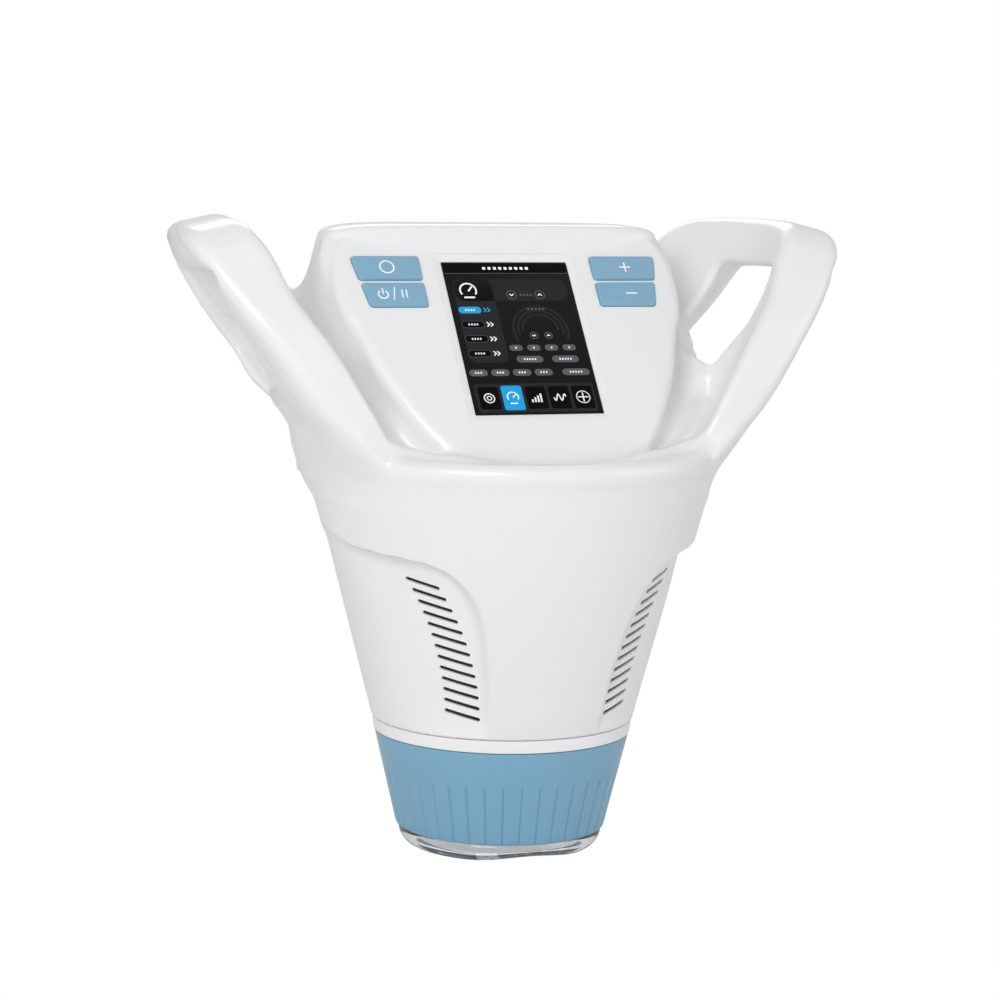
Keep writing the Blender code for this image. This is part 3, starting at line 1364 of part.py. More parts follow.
def make_bulkhead(shop, mats):
    """Bulkhead with its posts, the light ring below it and the suction port."""
    low = bulkhead_z()
    plate_z = bulkhead_plate_z()
    flange_top = flange_z() + BULKHEAD_FLANGE_THICKNESS
    inner = BULKHEAD_RADIUS - BULKHEAD_WALL
    bore = BEARING_RADIUS + 2 * GAP
    item = turned("chamber_bulkhead", [
        (BULKHEAD_FLANGE_RADIUS, flange_top),
        (BULKHEAD_FLANGE_RADIUS, flange_z()), (BULKHEAD_RADIUS, flange_z()),
        (BULKHEAD_RADIUS, low), (bore, low), (bore, plate_z), (inner, plate_z), (inner, flange_top),
    ], shop.parts)
    for index in range(4):
        angle = math.tau * (index + 0.5) / 4
        post = disc(
            "post", POST_RADIUS, flange_top - POST_SINK, flange_top + POST_HEIGHT, shop.cutters, AXLE_STEPS,
        )
        spot = (POST_CIRCLE_RADIUS * math.sin(angle), -POST_CIRCLE_RADIUS * math.cos(angle), 0.0)
        move_to(post, Matrix.Translation(spot))
        fuse(item, as_cutter(post, shop))
    hole = disc(
        "port_hole", PORT_RADIUS + GAP, PORT_FOOT_Z - OVERRUN, plate_z + OVERRUN, shop.cutters, SMALL_STEPS,
    )
    cut(item, as_cutter(move_to(hole, port_place()), shop))
    finish(item, shop, mats["grey_plastic"])
    board_top = low - GAP
    board_low = board_top - LIGHT_BOARD_THICKNESS
    board = tube("light_board", LIGHT_INNER_RADIUS, LIGHT_OUTER_RADIUS, board_low, board_top, shop.parts)
    finish(board, shop, mats["board_green"])
    lens = tube(
        "light_lens", LIGHT_INNER_RADIUS, LIGHT_OUTER_RADIUS, board_low - GAP - LENS_THICKNESS,
        board_low - GAP, shop.parts,
    )
    finish(lens, shop, mats["clear"])
    flange_low = plate_z + GAP
    port = turned("vacuum_port", [
        (PORT_RADIUS, PORT_TOP_Z), (PORT_RADIUS, flange_low + PORT_FLANGE_THICKNESS),
        (PORT_FLANGE_RADIUS, flange_low + PORT_FLANGE_THICKNESS), (PORT_FLANGE_RADIUS, flange_low),
        (PORT_RADIUS, flange_low), (PORT_RADIUS, PORT_FOOT_Z),
        (PORT_BORE_RADIUS, PORT_FOOT_Z), (PORT_BORE_RADIUS, PORT_TOP_Z),
    ], shop.parts, SMALL_STEPS)
    finish(move_to(port, port_place()), shop, mats["grey_plastic"])
    bearing = tube(
        "shaft_bearing", SHAFT_RADIUS + GAP, BEARING_RADIUS, low, plate_z, shop.parts, SMALL_STEPS,
    )
    finish(bearing, shop, mats["steel"])


def make_drive(shop, mats):
    """Gearbox, motor and drive shaft."""
    base = bulkhead_plate_z() + GAP
    bore = SHAFT_RADIUS + GAP
    top = base + GEARBOX_HEIGHT
    gearbox = turned("gearbox", [
        (0.0, top), (GEARBOX_RADIUS - EDGE_ROUNDING, top),
        (GEARBOX_RADIUS, top - EDGE_ROUNDING), (GEARBOX_RADIUS, base),
        (bore, base), (bore, base + GEARBOX_BORE_DEPTH), (0.0, base + GEARBOX_BORE_DEPTH),
    ], shop.parts, INLET_STEPS, ring=False)
    finish(gearbox, shop, mats["steel"])
    low = top + GAP
    high = low + MOTOR_HEIGHT
    motor = turned("drive_motor", [
        (0.0, high + MOTOR_BOSS_HEIGHT),
        (MOTOR_BOSS_RADIUS, high + MOTOR_BOSS_HEIGHT), (MOTOR_BOSS_RADIUS, high),
        (MOTOR_RADIUS - EDGE_ROUNDING, high),
        (MOTOR_RADIUS, high - EDGE_ROUNDING), (MOTOR_RADIUS, low), (0.0, low),
    ], shop.parts, INLET_STEPS, ring=False)
    finish(motor, shop, mats["steel"])
    shaft = disc(
        "drive_shaft", SHAFT_RADIUS, SHAFT_FOOT_Z, SHAFT_FOOT_Z + SHAFT_LENGTH, shop.parts, SMALL_STEPS,
    )
    finish(shaft, shop, mats["steel"])


def motor_top_z():
    """Top of the motor's can."""
    return bulkhead_plate_z() + GAP + GEARBOX_HEIGHT + GAP + MOTOR_HEIGHT


def roller_place(index):
    """Frame of one roller: z points away from the axis."""
    angle = math.tau * (index + 0.5) / ROLLER_COUNT
    turn = Matrix.Rotation(angle, 4, "Z") @ Matrix.Rotation(math.radians(90), 4, "X")
    middle = Matrix.Rotation(angle, 4, "Z") @ Vector((0.0, -ROLLER_CENTRE_RADIUS, ROLLER_AXIS_Z))
    return Matrix.Translation(middle) @ turn


def make_rotor(shop, mats):
    """Roller carrier, hub cap, slip ring, rollers and axles."""
    radius = COLLAR_BORE_RADIUS - GAP - CUP_WALL - CARRIER_CLEARANCE
    top = CARRIER_Z + CARRIER_THICKNESS
    bore = SHAFT_RADIUS + GAP
    foot = CARRIER_Z - OVERRUN
    carrier = turned("roller_carrier", [
        (HUB_RADIUS, HUB_TOP_Z), (HUB_RADIUS, top), (radius, top),
        (radius, CARRIER_Z), (HUB_RADIUS, CARRIER_Z),
        (HUB_RADIUS, foot), (bore, foot), (bore, HUB_TOP_Z),
    ], shop.parts, INLET_STEPS)
    move_to(carrier, Matrix.Rotation(math.pi / INLET_STEPS, 4, "Z"))
    half = ROLLER_LENGTH / 2
    for index in range(ROLLER_COUNT):
        place = roller_place(index)
        for end in (-1, 1):
            middle = end * (half + ROLLER_PLAY / 2 + EAR_THICKNESS / 2)
            low = ROLLER_AXIS_Z - EAR_DEPTH
            high = CARRIER_Z + OVERRUN / 2
            size = (EAR_WIDTH, high - low, EAR_THICKNESS)
            ear = block("ear", size, (0.0, (low + high) / 2 - ROLLER_AXIS_Z, middle), shop.cutters)
            fuse(carrier, as_cutter(move_to(ear, place), shop))
        width = ROLLER_RADIUS + ROLLER_PLAY
        slot = block(
            "roller_slot", (2 * width, 2 * width, ROLLER_LENGTH + ROLLER_PLAY), (0.0, width / 2, 0.0),
            shop.cutters,
        )
        cut(carrier, as_cutter(move_to(slot, place), shop))
        axle_hole = disc(
            "axle_hole", AXLE_RADIUS + GAP, -half - 2 * EAR_THICKNESS, half + 2 * EAR_THICKNESS,
            shop.cutters, AXLE_STEPS,
        )
        cut(carrier, as_cutter(move_to(axle_hole, place), shop))
        angle = math.tau * index / ROLLER_COUNT
        window = disc(
            "carrier_window", WINDOW_RADIUS, CARRIER_Z - OVERRUN, top + OVERRUN, shop.cutters, AXLE_STEPS,
        )
        spot = (WINDOW_CIRCLE_RADIUS * math.sin(angle), -WINDOW_CIRCLE_RADIUS * math.cos(angle), 0.0)
        cut(carrier, as_cutter(move_to(window, Matrix.Translation(spot)), shop))
        roller = turned(f"rf_roller_{index + 1}", [
            (ROLLER_RADIUS - ROLLER_ROUNDING, half), (ROLLER_RADIUS, half - ROLLER_ROUNDING),
            (ROLLER_RADIUS, ROLLER_ROUNDING - half), (ROLLER_RADIUS - ROLLER_ROUNDING, -half),
            (AXLE_RADIUS + GAP, -half), (AXLE_RADIUS + GAP, half),
        ], shop.parts, 16)
        finish(move_to(roller, place), shop, mats["chrome"])
        reach = half + ROLLER_PLAY / 2 + EAR_THICKNESS
        axle = disc(f"roller_axle_{index + 1}", AXLE_RADIUS, -reach, reach, shop.parts, AXLE_STEPS)
        finish(move_to(axle, place), shop, mats["steel"])
    finish(carrier, shop, mats["dark_plastic"])
    cap_top = foot - GAP
    cap = turned("hub_cap", [
        (0.0, cap_top), (HUB_CAP_RADIUS, cap_top), (HUB_CAP_RADIUS, cap_top - HUB_CAP_HEIGHT / 2),
        (HUB_CAP_RADIUS * 0.8, cap_top - HUB_CAP_HEIGHT * 0.85),
        (HUB_CAP_RADIUS * 0.4, cap_top - HUB_CAP_HEIGHT), (0.0, cap_top - HUB_CAP_HEIGHT),
    ], shop.parts, SMALL_STEPS, ring=False)
    finish(cap, shop, mats["chrome"])
    inner = HUB_RADIUS + GAP
    low = top + GAP
    ring = tube(
        "slip_ring", inner, inner + SLIP_RING_WIDTH, low, low + SLIP_RING_HEIGHT, shop.parts, INLET_STEPS,
    )
    finish(ring, shop, mats["brass"])
    start = inner + SLIP_RING_WIDTH + GAP
    high = bulkhead_z() - GAP
    brush = block("brush_block", (BRUSH_WIDTH, BRUSH_LENGTH, BRUSH_HEIGHT),
                  (0.0, -start - BRUSH_LENGTH / 2 - GAP, high - BRUSH_HEIGHT / 2), shop.parts)
    finish(brush, shop, mats["dark_plastic"])


def make_fan(shop, mats):
    """Fan bracket, frame and impeller on top of the motor."""
    low = motor_top_z() + GAP
    high = low + FAN_BRACKET_THICKNESS
    bracket = plate(
        "fan_bracket", rounded_outline(rectangle(FAN_SIDE / 2, FAN_SIDE / 2), [FAN_CORNER] * 4), low, high,
        shop.parts,
    )
    hole = disc(
        "boss_hole", MOTOR_BOSS_RADIUS + GAP, low - OVERRUN, high + OVERRUN, shop.cutters, SMALL_STEPS,
    )
    cut(bracket, as_cutter(hole, shop))
    finish(bracket, shop, mats["steel"])
    base = high + GAP
    frame = plate(
        "fan_frame", rounded_outline(rectangle(FAN_SIDE / 2, FAN_SIDE / 2), [FAN_CORNER] * 4), base,
        base + FAN_HEIGHT, shop.parts,
    )
    bore = disc(
        "fan_bore", FAN_BORE_RADIUS, base + FAN_BASE_THICKNESS, base + FAN_HEIGHT + OVERRUN, shop.cutters,
        INLET_STEPS,
    )
    floor = tube(
        "fan_floor", FAN_HUB_RADIUS, FAN_BORE_RADIUS, base - OVERRUN, base + FAN_BASE_THICKNESS + OVERRUN,
        shop.cutters, INLET_STEPS,
    )
    for index in range(2):
        size = [2 * FAN_SIDE, FAN_STRUT_WIDTH, 4 * OVERRUN]
        strut = block("fan_strut", size, (0.0, 0.0, base), shop.cutters)
        move_to(strut, Matrix.Rotation(math.radians(45 + 90 * index), 4, "Z"))
        cut(floor, as_cutter(strut, shop))
    cut(frame, as_cutter(bore, shop), as_cutter(floor, shop))
    finish(frame, shop, mats["dark_plastic"])
    hub_low = base + FAN_BASE_THICKNESS + FAN_ROTOR_GAP
    hub_high = base + FAN_HEIGHT - FAN_ROTOR_GAP
    impeller = disc(
        "fan_impeller", FAN_HUB_RADIUS, hub_low, hub_high, shop.parts, SMALL_STEPS, EDGE_ROUNDING,
    )
    tip = FAN_BORE_RADIUS - FAN_BLADE_TIP_GAP
    middle = (hub_low + hub_high) / 2
    start = FAN_HUB_RADIUS - EDGE_ROUNDING
    for index in range(FAN_BLADE_COUNT):
        size = (tip - start, FAN_BLADE_THICKNESS, FAN_BLADE_HEIGHT)
        blade = block("blade", size, ((tip + start) / 2, 0.0, 0.0), shop.cutters)
        turn = Matrix.Rotation(
            math.tau * index / FAN_BLADE_COUNT, 4, "Z",
        ) @ Matrix.Rotation(FAN_BLADE_LEAN, 4, "X")
        fuse(impeller, as_cutter(move_to(blade, Matrix.Translation((0.0, 0.0, middle)) @ turn), shop))
    finish(impeller, shop, mats["dark_plastic"])


def make_power_board(shop, mats):
    """Power board with its parts, and the heat sink on it."""
    low = flange_z() + BULKHEAD_FLANGE_THICKNESS + POST_HEIGHT + GAP
    high = low + BOARD_THICKNESS
    board = disc("power_board", POWER_BOARD_RADIUS, low, high, shop.parts, POWER_BOARD_SIDES)
    size = Vector(TRANSFORMER_SIZE)
    x, y = TRANSFORMER_PLACE
    sunk = BOARD_THICKNESS / 2
    transformer = block("transformer", size, (x, y, high - sunk + size.z / 2), shop.cutters)
    fuse(board, as_cutter(transformer, shop))
    for x, y in CAPACITOR_PLACES:
        can = disc(
            "capacitor", CAPACITOR_RADIUS, high - sunk, high + CAPACITOR_HEIGHT, shop.cutters, SMALL_STEPS,
        )
        fuse(board, as_cutter(move_to(can, Matrix.Translation((x, y, 0.0))), shop))
    finish(board, shop, mats["board_green"])
    x, y = SINK_PLACE
    base = high + GAP
    sink = block(
        "heat_sink", (SINK_WIDTH, SINK_LENGTH, SINK_HEIGHT), (x, y, base + SINK_HEIGHT / 2), shop.parts,
    )
    pitch = (SINK_WIDTH - SINK_FIN_THICKNESS) / (SINK_FIN_COUNT - 1)
    for index in range(SINK_FIN_COUNT - 1):
        middle = x - SINK_WIDTH / 2 + SINK_FIN_THICKNESS / 2 + pitch * (index + 0.5)
        channel_height = SINK_HEIGHT - SINK_BASE + OVERRUN
        channel = block("channel", (pitch - SINK_FIN_THICKNESS, 2 * SINK_LENGTH, channel_height),
                        (middle, y, base + SINK_BASE + channel_height / 2), shop.cutters)
        cut(sink, as_cutter(channel, shop))
    finish(sink, shop, mats["aluminium"])


def front_reach():
    """How far the shield reaches to the front at the seam."""
    return body_radius(1.0) + SHIELD_RISE * SHIELD_SHARES[-1][2]


def make_inlet(shop, mats):
    """Rear inlet with its nut, its contact insert and the hose that leads to the port."""
    turn = Matrix.Translation((0.0, 0.0, INLET_Z)) @ Matrix.Rotation(math.radians(-90), 4, "X")
    end = front_reach()
    face = INLET_BOSS_FACE_Y + GAP
    floor = end - INLET_SOCKET_DEPTH
    tip = INLET_BACK_Y - INLET_NIPPLE_LENGTH
    inlet = turned("cable_inlet", [
        (0.0, floor), (INLET_BORE_RADIUS, floor), (INLET_BORE_RADIUS, end),
        (INLET_FLANGE_RADIUS - EDGE_ROUNDING, end),
        (INLET_FLANGE_RADIUS, end - EDGE_ROUNDING), (INLET_FLANGE_RADIUS, face),
        (INLET_RADIUS, face), (INLET_RADIUS, INLET_BACK_Y),
        (INLET_NIPPLE_RADIUS, INLET_BACK_Y), (INLET_NIPPLE_RADIUS, tip),
        (0.0, tip),
    ], shop.parts, INLET_STEPS, ring=False)
    finish(move_to(inlet, turn), shop, mats["grey_plastic"])
    nut_high = INLET_BOSS_BACK_Y - GAP
    nut = tube(
        "inlet_nut", INLET_RADIUS + GAP, NUT_RADIUS, nut_high - NUT_HEIGHT, nut_high, shop.parts,
        INLET_STEPS,
    )
    finish(move_to(nut, turn), shop, mats["dark_plastic"])
    insert = disc(
        "contact_insert", INLET_BORE_RADIUS - GAP, floor + GAP, floor + GAP + INSERT_THICKNESS, shop.parts,
        INLET_STEPS,
    )
    insert_top = floor + GAP + INSERT_THICKNESS
    for index in range(PIN_COUNT):
        angle = math.tau * index / PIN_COUNT
        pin = disc("pin", PIN_RADIUS, insert_top - OVERRUN, insert_top + PIN_LENGTH, shop.cutters, 6)
        spot = (PIN_CIRCLE_RADIUS * math.cos(angle), PIN_CIRCLE_RADIUS * math.sin(angle), 0.0)
        move_to(pin, Matrix.Translation(spot))
        fuse(insert, as_cutter(pin, shop))
    insert = bake(insert)
    finish(move_to(insert, turn), shop, mats["dark_plastic"])
    curve = bpy.data.curves.new("vacuum_hose", "CURVE")
    curve.dimensions = "3D"
    curve.bevel_depth = HOSE_RADIUS
    curve.bevel_resolution = 2
    curve.use_fill_caps = True
    spline = curve.splines.new("POLY")
    start = Vector((0.0, PORT_CIRCLE_RADIUS, PORT_TOP_Z + GAP))
    finish_point = Vector((0.0, tip - GAP, INLET_Z))
    points = hose_points(start, finish_point)
    spline.points.add(len(points) - 1)
    for point, spot in zip(spline.points, points):
        point.co = (*spot, 1.0)
    hose = bake(add_object("vacuum_hose", curve, shop.parts))
    finish(hose, shop, mats["rubber"])


def hose_points(start, end):
    """Straight up from the port, then a quarter bend back to the inlet."""
    bend = min(HOSE_BEND, end.y - start.y - OVERRUN)
    centre = Vector((0.0, start.y + bend, end.z - bend))
    points = [start, Vector((0.0, start.y, (start.z + centre.z) / 2))]
    for step in range(7):
        angle = math.radians(90) * step / 6
        points.append(centre + Vector((0.0, -bend * math.cos(angle), bend * math.sin(angle))))
    points.append(end)
    return points


def main():
    """Build every part."""
    clear_scene()
    shop = Workshop()
    mats = {
        "white": material("gloss white shell", (0.88, 0.89, 0.90), 0.22),
        "blue": material("blue grip plastic", (0.20, 0.42, 0.65), 0.32),
        "button_blue": material("blue button plastic", (0.22, 0.44, 0.68), 0.35),
        "clear": material("clear polycarbonate", (0.93, 0.95, 0.97), 0.04, 0.0, 0.25),
        "glass_black": material("black cover glass", (0.01, 0.01, 0.012), 0.06),
        "module_grey": material("display module", (0.25, 0.26, 0.28), 0.4),
        "board_green": material("circuit board", (0.02, 0.16, 0.07), 0.45),
        "dark_plastic": material("dark plastic", (0.03, 0.03, 0.035), 0.5),
        "grey_plastic": material("grey plastic", (0.35, 0.36, 0.38), 0.5),
        "steel": material("steel", (0.62, 0.62, 0.62), 0.3, 1.0),
        "chrome": material("polished chrome", (0.78, 0.79, 0.80), 0.08, 1.0),
        "aluminium": material("aluminium", (0.72, 0.73, 0.75), 0.35, 1.0),
        "brass": material("brass", (0.72, 0.55, 0.25), 0.25, 1.0),
        "rubber": material("black rubber", (0.03, 0.03, 0.03), 0.75),
    }
    make_shells(shop, mats["white"])
    make_screws(shop, mats["steel"])
    make_panel_parts(shop, mats)
    make_collar(shop, mats["blue"])
    make_rings(shop, mats)
    make_cup(shop, mats)
    make_bulkhead(shop, mats)
    make_drive(shop, mats)
    make_rotor(shop, mats)
    make_fan(shop, mats)
    make_power_board(shop, mats)
    make_inlet(shop, mats)


main()
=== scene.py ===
"""Looks of a handled vacuum and radio-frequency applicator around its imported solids.

Sizes in the classes are in millimetres, in the frame of the solids: +X to the user's
right, +Y to the back, +Z up, with the origin on the cup's axis at the rim plane.
Meshes are built in millimetres and scaled to metres once, when they become objects.
"""

import logging
import math
from collections import defaultdict
from dataclasses import dataclass, field
from enum import Enum
from typing import Callable, Iterable, Sequence

import bmesh
import bpy
import numpy as np
from mathutils import Matrix, Vector


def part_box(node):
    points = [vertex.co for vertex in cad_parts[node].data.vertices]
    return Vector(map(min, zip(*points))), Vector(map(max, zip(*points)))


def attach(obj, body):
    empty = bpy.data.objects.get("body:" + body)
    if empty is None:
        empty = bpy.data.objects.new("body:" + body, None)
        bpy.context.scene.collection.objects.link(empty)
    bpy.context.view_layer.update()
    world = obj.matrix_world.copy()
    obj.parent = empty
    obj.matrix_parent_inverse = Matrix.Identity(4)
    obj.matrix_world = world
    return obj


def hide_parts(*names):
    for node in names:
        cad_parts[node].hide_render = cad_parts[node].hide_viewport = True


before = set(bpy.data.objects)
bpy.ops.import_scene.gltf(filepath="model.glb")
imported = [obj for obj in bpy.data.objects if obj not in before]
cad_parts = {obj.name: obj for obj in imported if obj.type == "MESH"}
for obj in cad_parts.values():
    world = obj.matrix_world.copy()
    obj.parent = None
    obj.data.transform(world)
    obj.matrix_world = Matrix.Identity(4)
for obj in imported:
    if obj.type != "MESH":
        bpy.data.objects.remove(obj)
log = logging.getLogger("handpiece")

MM = 0.001
WHITE = (1.0, 1.0, 1.0, 1.0)
Array = np.ndarray
Field = Callable[[Array], Array]
Region = Callable[[Array], Array]
Points = tuple[tuple[float, float], ...]


# Small numeric helpers


def smooth_step(value: Array, low: float, high: float) -> Array:
    """Rise smoothly from 0 at low to 1 at high."""
    share = np.clip((value - low) / (high - low), 0.0, 1.0)
    return share * share * (3.0 - 2.0 * share)


def soft_min(first: Array, second: Array, blend: float) -> Array:
    """Union of two distances with a fillet of about the blend's size."""
    overlap = np.maximum(blend - np.abs(first - second), 0.0) / blend
    return np.minimum(first, second) - overlap * overlap * blend * 0.25


def soft_max(first: Array, second: Array, blend: float) -> Array:
    """Intersection of two distances with a rounded edge."""
    return -soft_min(-first, -second, blend)


def numbered(stem: str, count: int) -> tuple[str, ...]:
    """Names of a numbered family of solids."""
    return tuple(f"{stem}_{index + 1}" for index in range(count))


@dataclass(frozen=True)
class Ramp:
    """A smooth rise from 0 at the low value to 1 at the high one."""

    low: float
    high: float

    def __call__(self, value: Array) -> Array:
        """Read the rise."""
        return smooth_step(value, self.low, self.high)


@dataclass(frozen=True)
class Profile:
    """A value that follows smoothly through given points."""

    points: Points

    def __call__(self, value: Array) -> Array:
        """Read the profile.

        Args:
            value: Positions along the profile.

        Returns:
            The values there, held level beyond both ends.
        """
        spots = np.array([point[0] for point in self.points])
        heights = np.array([point[1] for point in self.points])
        runs = np.diff(spots)
        slopes = np.diff(heights) / runs
        tangents = np.zeros_like(heights)
        same = slopes[:-1] * slopes[1:] > 0
        weight = runs[:-1] + runs[1:]
        mean = 3 * weight / (
            (weight + runs[1:]) / np.where(same, slopes[:-1], 1)
            + (weight + runs[:-1]) / np.where(same, slopes[1:], 1)
        )
        tangents[1:-1] = np.where(same, mean, 0.0)
        tangents[0], tangents[-1] = slopes[0], slopes[-1]
        held = np.clip(value, spots[0], spots[-1])
        index = np.clip(np.searchsorted(spots, held, side="right") - 1, 0, len(runs) - 1)
        run = runs[index]
        share = (held - spots[index]) / run
        square, cube = share * share, share * share * share
        return (
            (2 * cube - 3 * square + 1) * heights[index]
            + (cube - 2 * square + share) * run * tangents[index]
            + (3 * square - 2 * cube) * heights[index + 1]
            + (cube - square) * run * tangents[index + 1]
        )


def curve_through(points: Sequence[tuple[float, float]], steps: int = 8) -> Array:
    """Closed smooth curve through the given points.

    Args:
        points: Corner points in order.
        steps: Pieces for each span.

    Returns:
        The points of the curve.
    """
    corners = np.array(points, float)
    before, after, further = (np.roll(corners, shift, 0) for shift in (1, -1, -2))
    rows = []
    for share in np.arange(steps) / steps:
        square, cube = share * share, share**3
        rows.append(
            0.5
            * (
                2 * corners
                + (after - before) * share
                + (2 * before - 5 * corners + 4 * after - further) * square
                + (3 * corners - before - 3 * after + further) * cube
            )
        )
    return np.stack(rows, 1).reshape(-1, 2)


class Outline:
    """Closed outline in a plane, with its signed distance kept as a fine table."""

    def __init__(self, loop: Array, step: float = 0.5, margin: float = 26.0) -> None:
        """Measure the outline.

        Args:
            loop: Points of the closed outline.
            step: Spacing of the table.
            margin: How far the table reaches beyond the outline.
        """
        self.loop = loop
        self.step = step
        self.low = loop.min(0) - margin
        count = np.ceil((loop.max(0) + margin - self.low) / step).astype(int) + 1
        first = self.low[0] + step * np.arange(count[0])
        second = self.low[1] + step * np.arange(count[1])
        spots = np.stack(np.meshgrid(first, second, indexing="ij"), -1).reshape(-1, 2)
        self.table = self.measure(spots).reshape(count)

    def measure(self, spots: Array) -> Array:
        """Signed distance from each spot to the outline, negative inside."""
        nearest = np.full(len(spots), np.inf)
        inside = np.zeros(len(spots), bool)
        for start, end in zip(self.loop, np.roll(self.loop, -1, 0)):
            along = end - start
            length = max(float(along @ along), 1e-12)
            offset = spots - start
            share = np.clip(offset @ along / length, 0.0, 1.0)
            gap = offset - share[:, None] * along
            nearest = np.minimum(nearest, (gap * gap).sum(1))
            crosses = (start[1] > spots[:, 1]) != (end[1] > spots[:, 1])
            if crosses.any():
                reach = start[0] + (spots[:, 1] - start[1]) * along[0] / (along[1] if along[1] else 1e-12)
                inside ^= crosses & (spots[:, 0] < reach)
        distance = np.sqrt(nearest)
        return np.where(inside, -distance, distance)

    def __call__(self, first: Array, second: Array) -> Array:
        """Look up the signed distance at places in the plane."""
        rows, columns = self.table.shape
        across = np.clip((first - self.low[0]) / self.step, 0, rows - 1.001)
        along = np.clip((second - self.low[1]) / self.step, 0, columns - 1.001)
        row, column = across.astype(int), along.astype(int)
        u, v = across - row, along - column
        table = self.table
        return (
            table[row, column] * (1 - u) * (1 - v)
            + table[row + 1, column] * u * (1 - v)
            + table[row, column + 1] * (1 - u) * v
            + table[row + 1, column + 1] * u * v
        )


def rounded_box_outline(width: float, height: float, radius: float, steps: int = 6) -> Array:
    """Rectangle with round corners, centred on the origin."""
    points = []
    for sign_x, sign_y, start in ((1, 1, 0), (-1, 1, 90), (-1, -1, 180), (1, -1, 270)):
        for step in range(steps + 1):
            angle = math.radians(start + 90 * step / steps)
            points.append(
                (
                    sign_x * (width / 2 - radius) + radius * math.cos(angle),
                    sign_y * (height / 2 - radius) + radius * math.sin(angle),
                )
            )
    return np.array(points)


def rounded_corners(points: Sequence[tuple[float, float]], radii: Sequence[float], steps: int = 6) -> Array:
    """Outline with each corner rounded by its own radius."""
    result = []
    for index, (point, radius) in enumerate(zip(points, radii)):
        corner = np.array(point, float)
        back = np.array(points[index - 1], float) - corner
        ahead = np.array(points[(index + 1) % len(points)], float) - corner
        back, ahead = back / np.linalg.norm(back), ahead / np.linalg.norm(ahead)
        half = math.acos(float(np.clip(back @ ahead, -1, 1))) / 2
        centre = corner + (back + ahead) / np.linalg.norm(back + ahead) * radius / math.sin(half)
        start = corner + back * radius / math.tan(half) - centre
        end = corner + ahead * radius / math.tan(half) - centre
        turn = math.atan2(start[0] * end[1] - start[1] * end[0], start @ end)
        for step in range(steps + 1):
            angle = turn * step / steps
            cosine, sine = math.cos(angle), math.sin(angle)
            offset = (start[0] * cosine - start[1] * sine, start[0] * sine + start[1] * cosine)
            result.append(centre + offset)
    return np.array(result)


# The slanted panel's frame


@dataclass(frozen=True)
class PanelFrame:
    """Frame of the slanted panel: x to the right, s down the slope, depth into the body."""

    tilt_deg: float = 50.66
    y: float = -16.1
    z: float = 210.75

    @property
    def down(self) -> Array:
        """Direction down the slope."""
        tilt = math.radians(self.tilt_deg)
        return np.array((0.0, -math.cos(tilt), -math.sin(tilt)))

    @property
    def inward(self) -> Array:
        """Direction into the body."""
        tilt = math.radians(self.tilt_deg)
        return np.array((0.0, math.sin(tilt), -math.cos(tilt)))

    def flat(self, spots: Array) -> tuple[Array, Array, Array]:
        """Split points into x, s and depth."""
        offset = spots - np.array((0.0, self.y, self.z))
        return offset[..., 0], offset @ self.down, offset @ self.inward

    def point(self, across: float, along: float, depth: float = 0.0) -> Array:
        """Point of the body frame from x, s and depth."""
        return np.array((across, self.y, self.z)) + self.down * along + self.inward * depth

    def matrix(self) -> Matrix:
        """Matrix in millimetres from the panel's frame."""
        place = Matrix.Identity(4)
        place.col[0][:3] = (1.0, 0.0, 0.0)
        place.col[1][:3] = self.down
        place.col[2][:3] = self.inward
        place.col[3][:3] = (0.0, self.y, self.z)
        return place


PANEL = PanelFrame()


# The white form of both shells as one smooth field


